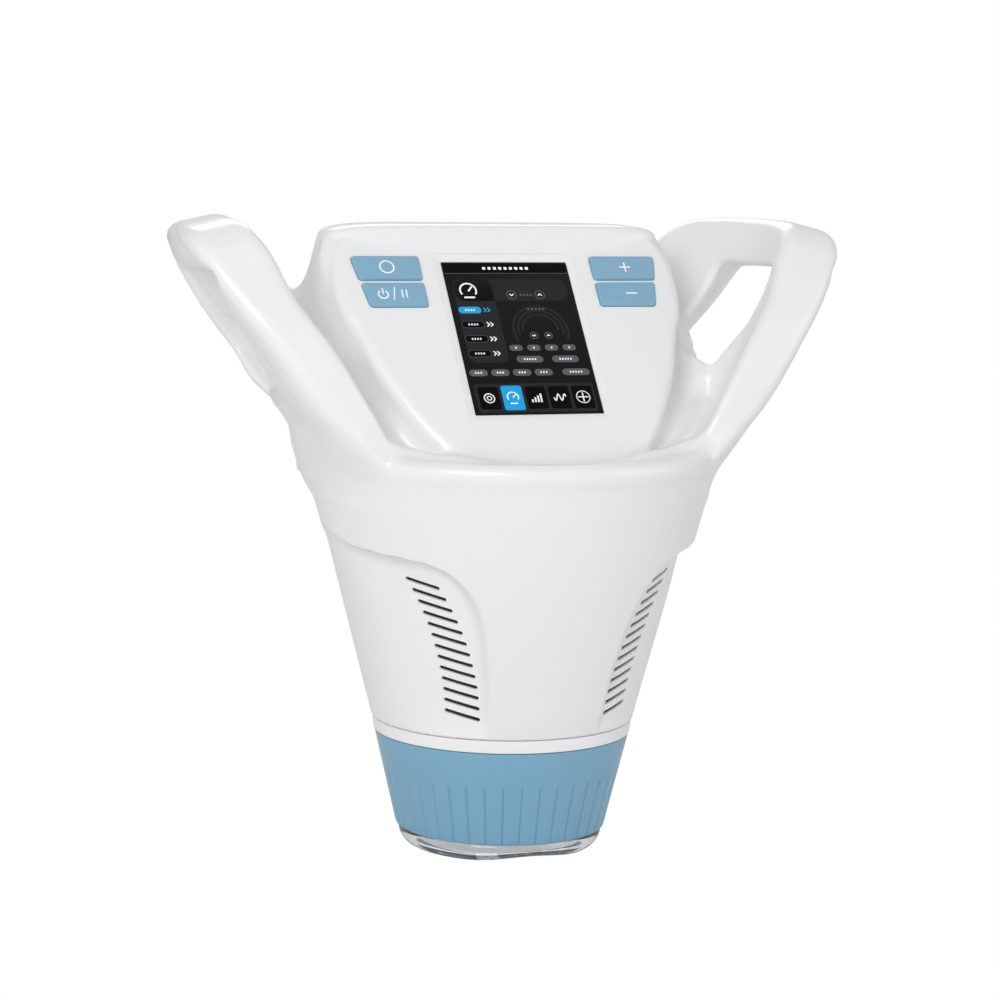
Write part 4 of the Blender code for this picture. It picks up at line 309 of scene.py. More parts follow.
@dataclass
class WhiteForm:
    """The outer surface of the cover and the housing, with its fillets.

    All sizes are in millimetres. The form is symmetric in X. The values named slope
    bring a part's measure close to a true distance.
    """

    foot_z: float = 53.4
    foot_radius: float = 53.7
    spread: float = 0.2616
    flare_start: float = 131.0
    flare_rise: float = 2.6
    seam_z: float = 156.6
    rim_z: float = 166.6
    rim_rounding: float = 9.0
    foot_rounding: float = 0.5
    cone_slope: float = 0.965
    bowl_drop: float = 5.0
    bowl_edge: Ramp = Ramp(56.0, 81.0)
    saddle_rise: float = 9.0
    saddle_across: Ramp = Ramp(66.0, 80.0)
    saddle_back: Ramp = Ramp(-14.0, 14.0)
    shield_edge: Profile = Profile(
        (
            (53, 24.5), (70, 24.5), (93, 25.5), (104, 27), (114, 30.5), (120, 34.5), (124, 39.5),
            (126.5, 46.5), (128.2, 60), (130, 73), (134, 79), (157, 80),
        )
    )
    shield_rise: Profile = Profile(
        (
            (53, 0.0), (58, 0.5), (75, 1.6), (90, 2.6), (105, 3.5), (120, 4.1), (130, 4.2), (142, 3.6),
            (152, 2.2), (158, 1.4), (168, 1.2),
        )
    )
    edge_lead: float = 1.6
    edge_width: float = 4.4
    edge_wider: float = 22.0
    edge_top: Ramp = Ramp(128.0, 136.0)
    back_rise: float = 0.9
    back_start: Ramp = Ramp(127.0, 131.5)
    back_end: Ramp = Ramp(131.5, 160.0)
    scoop_start: Ramp = Ramp(-0.6, 5.0)
    scoop_end: Ramp = Ramp(15.0, 46.0)
    scoop_depth: Profile = Profile(
        ((54, 0.0), (60, 1.4), (75, 2.5), (110, 2.8), (122, 2.1), (129, 0.0), (140, 0.0))
    )
    panel_loop: Points = (
        (-57, -53.3), (-30, -53.3), (0, -53.3), (30, -53.3), (57, -53.3), (66, -51.2), (71.2, -44.5),
        (73.6, -34), (74, -22), (72.2, -10.5), (69, -2.5), (62, 19), (51, 41.5), (41, 53), (28, 60),
        (0, 61.7), (-28, 60), (-41, 53), (-51, 41.5), (-62, 19), (-69, -2.5), (-72.2, -10.5), (-74, -22),
        (-73.6, -34), (-71.2, -44.5), (-66, -51.2),
    )
    panel_depth: float = 34.0
    panel_rounding: float = 5.5
    panel_back_rounding: float = 6.0
    panel_fillet: float = 7.0
    panel_sharper: float = 6.4
    panel_skin: Ramp = Ramp(1.0, 7.0)
    panel_top: Ramp = Ramp(212.0, 228.0)
    core_width: Profile = Profile(((150, 76), (170, 77), (200, 75), (230, 74.5), (245, 72.5), (253, 70)))
    core_front: Profile = Profile(((150, -42), (170, -35), (200, -12), (230, 6), (252, 12)))
    core_back: Profile = Profile(((150, 75), (180, 70.5), (215, 57.5), (253, 41)))
    core_top: float = 253.5
    core_foot: float = 150.0
    core_power: float = 4.5
    core_slope: float = 0.9
    core_rounding: float = 4.5
    core_fillet: float = 7.0
    outer_flare: Profile = Profile(
        (
            (150, 79.0), (157, 81.0), (163, 83.2), (170, 86.8), (178.5, 93), (187, 100), (201.5, 111),
            (211, 117.5), (220, 123.5), (233, 131), (241, 135.2), (247, 137.4), (256, 139),
        )
    )
    inner_flare: Profile = Profile(
        (
            (150, 66), (166, 76), (176, 82), (190, 88), (207.7, 95.5), (218.8, 101), (227, 104.7),
            (242.7, 109.2), (253.6, 113.7), (258, 115),
        )
    )
    loop_outline: Points = (
        (-50, 176), (-49.2, 186), (-47, 200), (-43, 214), (-38, 225), (-28.8, 241), (-23.5, 248.5),
        (-16, 253.6), (-5, 255.2), (20, 255.3), (40, 254.8), (55, 252.6), (64, 245.5), (68, 234),
        (69.6, 222), (70, 210), (68.5, 196), (64, 180), (54, 166), (38, 158), (0, 156), (-34, 158),
        (-47, 166),
    )
    loop_hole: Points = (
        (-22.5, 235.5), (-19.5, 237.2), (-10, 237.3), (10, 236.8), (30, 236.3), (37.0, 235.3),
        (39.6, 232), (42.4, 221.5), (45.4, 210), (43.8, 204.0), (33, 193.8), (21.6, 185.8), (12, 182.6),
        (4, 182.3), (-6, 184.4), (-13.6, 189.4), (-15.6, 201.5), (-17.6, 215.3), (-20.5, 227),
    )
    hole_centre: tuple[float, float] = (12.0, 212.5)
    hole_shift: tuple[float, float] = (8.7, -10.4)
    hole_flare: tuple[float, float] = (0.437, 0.357)
    loop_rounding: float = 6.0
    loop_slope: float = 0.93
    loop_grow: float = 0.9
    hole_slope: float = 0.8
    hole_rounding: float = 4.0
    flare_slope: float = 0.82
    handle_fillet: float = 8.0
    handle_softer: float = 14.0
    handle_root: Ramp = Ramp(-12.0, 4.0)
    web_lip: float = 4.5
    web_front: Ramp = Ramp(-26.0, -12.0)
    web_rear: Ramp = Ramp(36.0, 50.0)
    web_foot: Ramp = Ramp(180.0, 195.0)
    web_top: Ramp = Ramp(202.0, 217.0)
    web_radius: float = 92.5
    web_clear: float = 2.0
    web_thickness: float = 5.5
    grip_start: float = 7.5
    grip_rise: Ramp = Ramp(196.0, 216.0)
    outer_crest: float = 0.7
    crest_front: Ramp = Ramp(-2.5, 1.0)
    crest_foot: Ramp = Ramp(168.0, 200.0)
    front_fade: Ramp = Ramp(-44.0, -6.0)
    rear_fade: Ramp = Ramp(30.0, 56.0)
    top_slant: float = 0.24
    top_middle: float = 121.0
    top_zone: Ramp = Ramp(222.0, 250.0)
    front_crest: Profile = Profile(
        (
            (150, 0), (157, 1.5), (164, 5), (170, 6.6), (179, 7.2), (189, 5.6), (199, 3.6), (209, 2.2),
            (225, 1.2), (256, 0.8),
        )
    )
    rear_crest: Profile = Profile(
        (
            (150, 0), (165, 1), (175, 3.5), (188, 7), (205, 6.8), (220, 5.2), (232, 4.2), (243, 2.5),
            (256, 2),
        )
    )
    rear_shift: float = 9.0
    rear_zone: Ramp = Ramp(8.0, 52.0)
    skin_front: Profile = Profile(
        (
            (150, -38.5), (165, -37.2), (177, -36.6), (192, -35), (200, -33.4), (211, -31), (220, -28),
            (233, -22), (240, -17.4), (244, -12), (248, -4), (252, 10), (256, 40),
        )
    )
    skin_depth: float = 5.0

    def __post_init__(self) -> None:
        """Measure the outlines once."""
        self.panel = Outline(curve_through(self.panel_loop))
        self.loop = Outline(curve_through(self.loop_outline))
        self.hole = Outline(curve_through(self.loop_hole))

    def cone_radius(self, height: Array) -> Array:
        """Radius of the plain cone with its flare."""
        past = (height - self.flare_start) / (self.seam_z - self.flare_start)
        flare = self.flare_rise * np.clip(past, 0.0, 1.6) ** 1.7
        return self.foot_radius + self.spread * (height - self.foot_z) + flare

    def relief(self, angle_deg: Array, height: Array) -> Array:
        """Height of the shield above the cone, or depth of the scoops beside it."""
        past = angle_deg - self.shield_edge(height)
        fade = self.edge_width + self.edge_wider * self.edge_top(height)
        beyond = smooth_step((past + self.edge_lead) / fade, 0.0, 1.0)
        shield = self.shield_rise(height) * (1 - beyond)
        back_step = self.back_rise * self.back_start(height) * (1 - self.back_end(height)) * beyond
        scoop = self.scoop_depth(height) * self.scoop_start(past) * (1 - self.scoop_end(past))
        return shield - scoop + back_step

    def body(self, x: Array, y: Array, z: Array) -> Array:
        """Distance to the cone with its shield, rim and bowl."""
        reach = np.hypot(x, y)
        angle = np.degrees(np.arctan2(x, -y))
        side = (reach - self.cone_radius(z) - self.relief(angle, z)) * self.cone_slope
        bowl = self.rim_z - self.bowl_drop * (1 - self.bowl_edge(reach))
        bowl = bowl + self.saddle_rise * self.saddle_across(x) * (1 - self.saddle_back(y))
        rimmed = soft_max(side, z - bowl, self.rim_rounding)
        return soft_max(rimmed, self.foot_z - z, self.foot_rounding)

    def core(self, x: Array, y: Array, z: Array) -> Array:
        """Distance to the back of the panel box."""
        half_width = self.core_width(z)
        front, back = self.core_front(z), self.core_back(z)
        half_depth, centre = (back - front) / 2, (back + front) / 2
        across, along = np.abs(x) / half_width, np.abs(y - centre) / half_depth
        share = (across**self.core_power + along**self.core_power) ** (1 / self.core_power)
        side = (share - 1) * np.minimum(half_width, half_depth) * self.core_slope
        topped = soft_max(side, z - self.core_top, self.core_rounding)
        return soft_max(topped, self.core_foot - z, 1.0)

    def box(self, x: Array, y: Array, z: Array) -> Array:
        """Distance to the plate of the slanted panel."""
        spots_y, spots_z = y - PANEL.y, z - PANEL.z
        along = spots_y * PANEL.down[1] + spots_z * PANEL.down[2]
        depth = spots_y * PANEL.inward[1] + spots_z * PANEL.inward[2]
        faced = soft_max(self.panel(x, along), -depth, self.panel_rounding)
        return soft_max(faced, depth - self.panel_depth, self.panel_back_rounding)

    def handle(self, x: Array, y: Array, z: Array) -> Array:
        """Distance to the right handle loop."""
        reach = np.hypot(x, y)
        plain, outer = self.inner_flare(z), self.outer_flare(z)
        beside = self.web_front(y) * (1 - self.web_rear(y))
        inner = plain - self.web_lip * beside * self.web_foot(z) * (1 - self.web_top(z))
        start = np.maximum(self.web_radius, plain + self.web_clear)
        grip = outer - self.web_radius - self.grip_start
        end = self.web_radius + self.web_thickness + grip * self.grip_rise(z)
        share = np.clip((reach - start) / (end - start), 0.0, 1.0) - 0.5
        crest = self.outer_crest * (1 - self.crest_front(y - self.skin_front(z))) * self.crest_foot(z)
        crest = crest + self.front_crest(z) * (1 - self.front_fade(y))
        crest = crest + self.rear_crest(z) * self.rear_fade(y)
        radial = np.maximum(inner - reach, reach - outer - crest) * self.flare_slope
        top_shift = self.top_slant * (reach - self.top_middle) * self.top_zone(z)
        behind = self.rear_shift * (share + 0.5) * self.rear_zone(y)
        outline = self.loop(y - behind, z + top_shift) * self.loop_slope - self.loop_grow
        ways = zip((y, z), self.hole_centre, self.hole_shift, self.hole_flare)
        mapped = [
            centre + (value - shift * share - centre) / (1 + flare * share)
            for value, centre, shift, flare in ways
        ]
        hole = self.hole(*mapped)
        solid = soft_max(radial, outline, self.loop_rounding)
        return soft_max(solid, -hole * self.hole_slope, self.hole_rounding)

    def distance(self, spots: Array) -> Array:
        """Signed distance of the whole form at (..., 3) points in millimetres."""
        x, y, z = np.abs(spots[..., 0]), spots[..., 1], spots[..., 2]
        solid = soft_min(self.body(x, y, z), self.core(x, y, z), self.core_fillet)
        inward = 1 - self.handle_root(np.hypot(x, y) - self.inner_flare(z))
        fillet = self.handle_fillet + self.handle_softer * inward
        solid = soft_min(solid, self.handle(x, y, z), fillet)
        depth = (y - PANEL.y) * PANEL.inward[1] + (z - PANEL.z) * PANEL.inward[2]
        sharper = self.panel_sharper * (1 - self.panel_skin(depth)) * self.panel_top(z)
        return soft_min(solid, self.box(x, y, z), self.panel_fillet - sharper)

    def parting(self, spots: Array) -> Array:
        """Positive on the cover, negative on the housing."""
        x, y, z = np.abs(spots[..., 0]), spots[..., 1], spots[..., 2]
        inside = self.outer_flare(z) - self.skin_depth - np.hypot(x, y)
        ahead = self.skin_front(z) - y
        return np.minimum(z - self.seam_z, np.maximum(inside, ahead))


def gradient(distance: Field, spots: Array, step: float = 0.08) -> Array:
    """Central differences of a field."""
    parts = []
    for axis in range(3):
        shift = np.zeros(3)
        shift[axis] = step
        parts.append((distance(spots + shift) - distance(spots - shift)) / (2 * step))
    return np.stack(parts, -1)


def unit(vectors: Array) -> Array:
    """Vectors of length one."""
    return vectors / np.maximum(np.linalg.norm(vectors, axis=-1, keepdims=True), 1e-9)


def settle(distance: Field, spots: Array, rounds: int = 4, reach: float = 1.0) -> Array:
    """Move points onto the zero level of a field."""
    placed = spots.copy()
    for _ in range(rounds):
        slope = gradient(distance, placed)
        size = np.maximum((slope * slope).sum(-1, keepdims=True), 0.05)
        move = slope * distance(placed)[..., None] / size
        length = np.linalg.norm(move, axis=-1, keepdims=True)
        placed -= move * np.minimum(1.0, reach / np.maximum(length, 1e-9))
    return placed


def net_spots(values: Array, cells: Array) -> Array:
    """Mean of the crossings on each cell's edges, in steps of the lattice."""
    total, count = np.zeros((len(cells), 3)), np.zeros(len(cells))
    for axis in range(3):
        for first in (0, 1):
            for second in (0, 1):
                start = [first, second]
                start.insert(axis, 0)
                end = list(start)
                end[axis] = 1
                low_value = values[tuple((cells + start).T)]
                high_value = values[tuple((cells + end).T)]
                crosses = (low_value < 0) != (high_value < 0)
                spread = np.where(crosses, low_value - high_value, 1.0)
                share = np.where(crosses, low_value / spread, 0.0)
                spot = np.array(start, float) + np.eye(3)[axis] * share[:, None]
                total += np.where(crosses[:, None], spot, 0.0)
                count += crosses
    return cells + total / count[:, None]


def net_faces(inside: Array, names: Array) -> Array:
    """Four-sided faces round the lattice edges that cross the surface, turned outwards.

    Args:
        inside: Whether each lattice point lies inside.
        names: Number of each cell's point, or -1 where the cell has none.

    Returns:
        The faces as point numbers.
    """
    faces = []
    for axis in range(3):
        others = [other for other in range(3) if other != axis]
        lower = [slice(1, -1)] * 3
        upper = [slice(1, -1)] * 3
        lower[axis], upper[axis] = slice(0, -1), slice(1, None)
        if axis == 0:
            lower[0], upper[0] = slice(1, -1), slice(2, None)
        here, there = inside[tuple(lower)], inside[tuple(upper)]
        crossing = np.argwhere(here != there)
        base = crossing + np.array([piece.start for piece in lower])
        turn = here[tuple(crossing.T)]
        ring = []
        for first, second in ((1, 1), (0, 1), (0, 0), (1, 0)):
            cell = base.copy()
            cell[:, others[0]] -= first
            cell[:, others[1]] -= second
            ring.append(names[tuple(cell.T)])
        quads = np.stack(ring, 1)
        if axis == 1:
            turn = ~turn
        faces.append(np.where(turn[:, None], quads, quads[:, ::-1]))
    quads = np.concatenate(faces)
    return quads[(quads >= 0).all(1)]


def half_net(
    distance: Callable[[Array, Array, Array], Array], step: float, high: Sequence[float],
    low: Sequence[float],
) -> tuple[Array, Array]:
    """Skin the half of a symmetric field with X above zero, and mirror it.

    Args:
        distance: Field on broadcast coordinate arrays, negative inside.
        step: Spacing of the lattice.
        high: Upper corner of the lattice.
        low: Lower corner of the lattice; its X is not used.

    Returns:
        Points and four-sided faces of the whole closed skin.
    """
    xs = (np.arange(int(high[0] / step) + 2) - 0.5) * step
    ys = np.arange(low[1], high[1], step)
    zs = np.arange(low[2], high[2], step)
    values = distance(xs[:, None, None], ys[None, :, None], zs[None, None, :]).astype(np.float32)
    inside = values < 0
    corner_sum = sum(
        inside[i : len(xs) - 1 + i, j : len(ys) - 1 + j, k : len(zs) - 1 + k].astype(np.int8)
        for i in (0, 1) for j in (0, 1) for k in (0, 1)
    )
    active = (corner_sum > 0) & (corner_sum < 8)
    cells = np.argwhere(active)
    names = np.full(active.shape, -1, np.int64)
    names[tuple(cells.T)] = np.arange(len(cells))
    spots = net_spots(values, cells) * step + np.array((xs[0], ys[0], zs[0]))
    quads = net_faces(inside, names)
    on_plane = cells[:, 0] == 0
    spots[on_plane, 0] = 0.0
    mirror = np.arange(len(spots)) + len(spots)
    mirror[on_plane] = np.arange(len(spots))[on_plane]
    flipped = spots * np.array((-1.0, 1.0, 1.0))
    return np.concatenate((spots, flipped)), np.concatenate((quads, mirror[quads][:, ::-1]))


class Skin:
    """A growing polygon surface that can be cut along the zero level of a function."""

    def __init__(self, spots: Array, quads: Array, normals: Array) -> None:
        """Start from a closed skin of four-sided faces."""
        self.spots = [spots]
        self.normals = [normals]
        self.count = len(spots)
        self.quads = quads
        self.others: list[tuple[int, ...]] = []

    def all_spots(self) -> Array:
        """Every point so far."""
        if len(self.spots) > 1:
            self.spots = [np.concatenate(self.spots)]
            self.normals = [np.concatenate(self.normals)]
        return self.spots[0]

    def add(self, spots: Array, normals: Array) -> Array:
        """Add points and return their numbers."""
        names = np.arange(self.count, self.count + len(spots))
        self.spots.append(spots)
        self.normals.append(normals)
        self.count += len(spots)
        return names

    def copy(self) -> "Skin":
        """Return a skin that can be cut on its own."""
        spots = self.all_spots()
        twin = Skin(spots, self.quads, self.normals[0])
        twin.others = list(self.others)
        return twin

    def cut(
        self, measure: Field, level: float, surface: Field, near: Region | None = None,
    ) -> list[tuple[int, int]]:
        """Keep what lies above a level of a function.

        Args:
            measure: The function, on points in millimetres.
            level: The level that is cut at.
            surface: Distance field that new points settle on.
            near: Optional test that limits the cut to some of the points.

        Returns:
            The new open edges, in the order in which their faces run.
        """
        spots = self.all_spots()
        values = np.full(len(spots), 1e3)
        chosen = np.ones(len(spots), bool) if near is None else near(spots)
        values[chosen] = measure(spots[chosen]) - level
        pairs, edges = self.clip_faces(values >= 0)
        if pairs:
            self.add_crossings(np.array(pairs), values, measure, level, surface)
        return edges

    def clip_faces(self, keep: Array) -> tuple[list[tuple[int, int]], list[tuple[int, int]]]:
        """Drop the faces beyond a cut and clip those that cross it.

        Args:
            keep: Whether each point is kept.

        Returns:
            The two ends of each new point, in the order of their numbers, and the new open edges.
        """
        state = keep[self.quads]
        whole, mixed = state.all(1), state.any(1) & ~state.all(1)
        crossing = [tuple(face) for face in self.quads[mixed].tolist()]
        self.quads = self.quads[whole]
        rest = []
        for face in self.others:
            kept = [keep[name] for name in face]
            if all(kept):
                rest.append(face)
            elif any(kept):
                crossing.append(face)
        starts: dict[tuple[int, int], int] = {}
        pairs: list[tuple[int, int]] = []
        edges: list[tuple[int, int]] = []
        for face in crossing:
            ring: list[int] = []
            ends: list[int] = []
            for first, second in zip(face, face[1:] + face[:1]):
                if keep[first]:
                    ring.append(first)
                if keep[first] != keep[second]:
                    key = (min(first, second), max(first, second))
                    if key not in starts:
                        starts[key] = self.count + len(pairs)
                        pairs.append(key)
                    ring.append(starts[key])
                    ends.append(starts[key])
            if len(ring) >= 3:
                rest.append(tuple(ring))
            if len(ends) == 2:
                first_at = ring.index(ends[0])
                follows = ring[(first_at + 1) % len(ring)] == ends[1]
                edges.append((ends[0], ends[1]) if follows else (ends[1], ends[0]))
        self.others = rest
        return pairs, edges

    def add_crossings(
        self, pairs: Array, values: Array, measure: Field, level: float, surface: Field
    ) -> None:
        """Add the point where each pair of ends crosses the level.

        Args:
            pairs: The two ends of each new point.
            values: Height of every point above the level.
            measure: The function of the cut.
            level: The level that is cut at.
            surface: Distance field that the points settle on.
        """
        spots = self.all_spots()
        low, high = spots[pairs[:, 0]], spots[pairs[:, 1]]
        low_value, high_value = values[pairs[:, 0]], values[pairs[:, 1]]
        swap = low_value > high_value
        low[swap], high[swap] = high[swap], low[swap].copy()
        near_low, near_high = np.zeros(len(low)), np.ones(len(low))
        for _ in range(12):
            middle = (near_low + near_high) / 2
            value = measure(low + (high - low) * middle[:, None]) - level
            near_low = np.where(value < 0, middle, near_low)
            near_high = np.where(value < 0, near_high, middle)
        placed = settle(surface, low + (high - low) * near_high[:, None], 2)
        self.add(placed, unit(gradient(surface, placed)))

    def lip(self, edges: list[tuple[int, int]], measure: Field, rounding: float, depth: float) -> None:
        """Turn an open edge inwards with a small round.

        Args:
            edges: Open edges from a cut.
            measure: The function of the cut; the edge turns towards its lower side.
            rounding: Size of the round.
            depth: How far the edge reaches in.
        """
        if not edges:
            return
        spots = self.all_spots()
        names = np.array(sorted({name for edge in edges for name in edge}))
        normal = self.normals[0][names]
        slope = gradient(measure, spots[names])
        outward = unit(-(slope - (slope * normal).sum(1, keepdims=True) * normal))
        rings = [dict(zip(names.tolist(), names.tolist()))]
        for angle in (30.0, 60.0, 90.0):
            sine, cosine = math.sin(math.radians(angle)), math.cos(math.radians(angle))
            place = spots[names] + outward * rounding * sine - normal * rounding * (1 - cosine)
            made = self.add(place, unit(normal * cosine + outward * sine))
            rings.append(dict(zip(names.tolist(), made.tolist())))
        place = spots[names] + outward * rounding - normal * depth
        rings.append(dict(zip(names.tolist(), self.add(place, outward).tolist())))
        for upper, lower in zip(rings, rings[1:]):
            for first, second in edges:
                self.others.append((upper[second], upper[first], lower[first], lower[second]))

    def refine(self, near: Region, surface: Field) -> None:
        """Split the four-sided faces of a region into four, and stitch their neighbours.

        Args:
            near: Test of the faces' middle points.
            surface: Distance field that new points settle on.
        """
        spots = self.all_spots()
        chosen = near(spots[self.quads].mean(1))
        faces, rest = self.quads[chosen], self.quads[~chosen]
        size = self.count
        sides = np.sort(np.stack((faces, np.roll(faces, -1, 1)), -1), -1)
        keys, index = np.unique(sides[..., 0] * size + sides[..., 1], return_inverse=True)
        ends = np.stack((keys // size, keys % size), 1)
        middles = settle(surface, spots[ends].mean(1), 2)
        names = self.add(middles, unit(gradient(surface, middles)))
        mids = names[index].reshape(-1, 4)
        centres = settle(surface, spots[faces].mean(1), 2)
        hubs = self.add(centres, unit(gradient(surface, centres)))
        parts = [np.stack((faces[:, at], mids[:, at], hubs, mids[:, at - 1]), 1) for at in range(4)]
        lookup = dict(zip(keys.tolist(), names.tolist()))
        edges = np.sort(np.stack((rest, np.roll(rest, -1, 1)), -1), -1)
        split = np.isin(edges[..., 0] * size + edges[..., 1], keys).any(1)
        for face in rest[split].tolist():
            ring = []
            for first, second in zip(face, face[1:] + face[:1]):
                ring.append(first)
                middle = lookup.get(min(first, second) * size + max(first, second))
                if middle is not None:
                    ring.append(middle)
            self.others.append(tuple(ring))
        self.quads = np.concatenate([rest[~split], *parts])

    def mesh(self, name: str) -> bpy.types.Mesh:
        """Return the used points and faces as a mesh in metres with its own normals."""
        spots = self.all_spots()
        faces = self.quads.tolist() + [list(face) for face in self.others]
        used = np.zeros(len(spots), bool)
        for face in faces:
            used[face] = True
        renamed = np.cumsum(used) - 1
        data = bpy.data.meshes.new(name)
        faces = [[int(renamed[index]) for index in face] for face in faces]
        data.from_pydata((spots[used] * MM).tolist(), [], faces)
        data.update()
        data.shade_smooth()
        data.normals_split_custom_set_from_vertices(self.normals[0][used].tolist())
        return data


# Shader graphs and finishes


class Value:
    """One output in a shader graph, with arithmetic that adds the nodes for it."""

    def __init__(self, graph: "Graph", socket: bpy.types.NodeSocket) -> None:
        """Keep the graph and the output."""
        self.graph = graph
        self.socket = socket

    def _math(self, operation: str, first: "Value | float", second: "Value | float") -> "Value":
        """Add one Math node."""
        return self.graph.add("ShaderNodeMath", {"operation": operation}, {0: first, 1: second})

    def __add__(self, other: "Value | float") -> "Value":
        """Sum."""
        return self._math("ADD", self, other)

    def __sub__(self, other: "Value | float") -> "Value":
        """Difference."""
        return self._math("SUBTRACT", self, other)

    def __mul__(self, other: "Value | float") -> "Value":
        """Product."""
        return self._math("MULTIPLY", self, other)


class Graph:
    """Node graph of one material or world."""

    def __init__(self, tree: bpy.types.NodeTree) -> None:
        """Empty the tree."""
        self.tree = tree
        tree.nodes.clear()

    def node(self, kind: str, settings: dict, inputs: dict) -> bpy.types.Node:
        """Add a node.

        Args:
            kind: Blender's name for the type of node.
            settings: Properties of the node.
            inputs: Values, numbers, colours or vectors by the name or number of the socket.

        Returns:
            The node.
        """
        node = self.tree.nodes.new(kind)
        for key, value in settings.items():
            setattr(node, key, value)
        for key, value in inputs.items():
            if isinstance(value, Value):
                self.tree.links.new(value.socket, node.inputs[key])
            else:
                node.inputs[key].default_value = value
        return node

    def add(self, kind: str, settings: dict, inputs: dict, output: int | str = 0) -> Value:
        """Add a node and return one of its outputs."""
        return Value(self, self.node(kind, settings, inputs).outputs[output])

    def noise(self, place: Value, scale: float, detail: float, distortion: float = 0.0) -> Value:
        """Add a noise texture and return its strength."""
        inputs = {"Vector": place, "Scale": scale, "Detail": detail, "Distortion": distortion}
        return self.add("ShaderNodeTexNoise", {}, inputs, "Fac")

    def blend(
        self, share: "Value | float", low: Sequence[float] | Value, high: Sequence[float] | Value,
    ) -> Value:
        """Mix two colours by a share."""
        colours = [value if isinstance(value, Value) else (*value[:3], 1.0) for value in (low, high)]
        return self.add("ShaderNodeMix", {"data_type": "RGBA"}, {0: share, 6: colours[0], 7: colours[1]}, 2)


class Surface(Enum):
    """Kinds of surface that the finishes are made for."""

    PLASTIC = "plastic"
    BRUSHED = "brushed"
    CLEAR = "clear"
    BOARD = "board"


@dataclass(frozen=True)
class Finish:
    """A procedural finish, with its texture sizes in millimetres."""

    name: str
    tone: tuple[float, float, float]
    roughness: float
    surface: Surface = Surface.PLASTIC
    metallic: float = 0.0
    coat: float = 0.0
    grain: float = 0.35
    relief: float = 0.006
    mottle: float = 0.02
    spread: float = 0.08
    glow: float = 0.0
    specular: float = 0.5
    second_tone: tuple[float, float, float] = (0.0, 0.0, 0.0)
    broad_size: float = 24.0
    smear_size: float = 6.0
    track_size: float = 4.0

    def build(self) -> bpy.types.Material:
        """Make the Blender material."""
        made = bpy.data.materials.new(self.name)
        made.use_nodes = True
        graph = Graph(made.node_tree)
        place = graph.add("ShaderNodeTexCoord", {}, {}, "Object")
        if self.surface is Surface.BRUSHED:
            place = graph.add("ShaderNodeMapping", {}, {0: place, 3: (1.0, 1.0, 14.0)})
        fine = graph.noise(place, 1.0 / (self.grain * MM), 3.0)
        broad = graph.noise(place, 1.0 / (self.broad_size * MM), 4.0)
        smear = graph.noise(place, 1.0 / (self.smear_size * MM), 6.0, 0.6)
        dark = tuple(value * (1 - 2 * self.mottle) for value in self.tone)
        light = tuple(min(value * (1 + 2 * self.mottle), 1.0) for value in self.tone)
        tone = graph.blend(broad * 0.7 + fine * 0.3, dark, light)
        height = fine
        roughness = (smear * 0.6 + fine * 0.4 - 0.5) * (2 * self.spread) + self.roughness
        if self.surface is Surface.BOARD:
            pattern = {"feature": "DISTANCE_TO_EDGE", "distance": "MANHATTAN"}
            scale = 1.0 / (self.track_size * MM)
            lines = graph.add("ShaderNodeTexVoronoi", pattern, {"Vector": place, "Scale": scale}, 0)
            track = graph.add("ShaderNodeMapRange", {}, {"Value": lines, 1: 0.04, 2: 0.07, 3: 1.0, 4: 0.0})
            tone = graph.blend(track, tone, self.second_tone)
            height = fine * 0.3 + track
        shader_inputs = {
            "Base Color": tone, "Roughness": roughness, "Metallic": self.metallic,
            "Coat Weight": self.coat, "Coat Roughness": 0.08, "Specular IOR Level": self.specular,
        }
        if self.surface is Surface.CLEAR:
            shader_inputs |= {"Transmission Weight": 1.0, "IOR": 1.49}
        if self.surface is Surface.BRUSHED:
            shader_inputs |= {"Anisotropic": 0.5}
        if self.glow:
            shader_inputs |= {"Emission Color": tone, "Emission Strength": self.glow}
        shader_inputs["Normal"] = graph.add(
            "ShaderNodeBump", {}, {"Strength": 0.6, "Distance": self.relief * MM, "Height": height}
        )
        shader = graph.add("ShaderNodeBsdfPrincipled", {}, shader_inputs)
        graph.node("ShaderNodeOutputMaterial", {}, {0: shader})
        return made


def screen_finish(name: str, tone: tuple[float, float, float], roughness: float, glow: float) -> Finish:
    """Finish of one tone of the screen's picture."""
    return Finish(name, tone, roughness, specular=0.1, glow=glow, relief=0.0005)


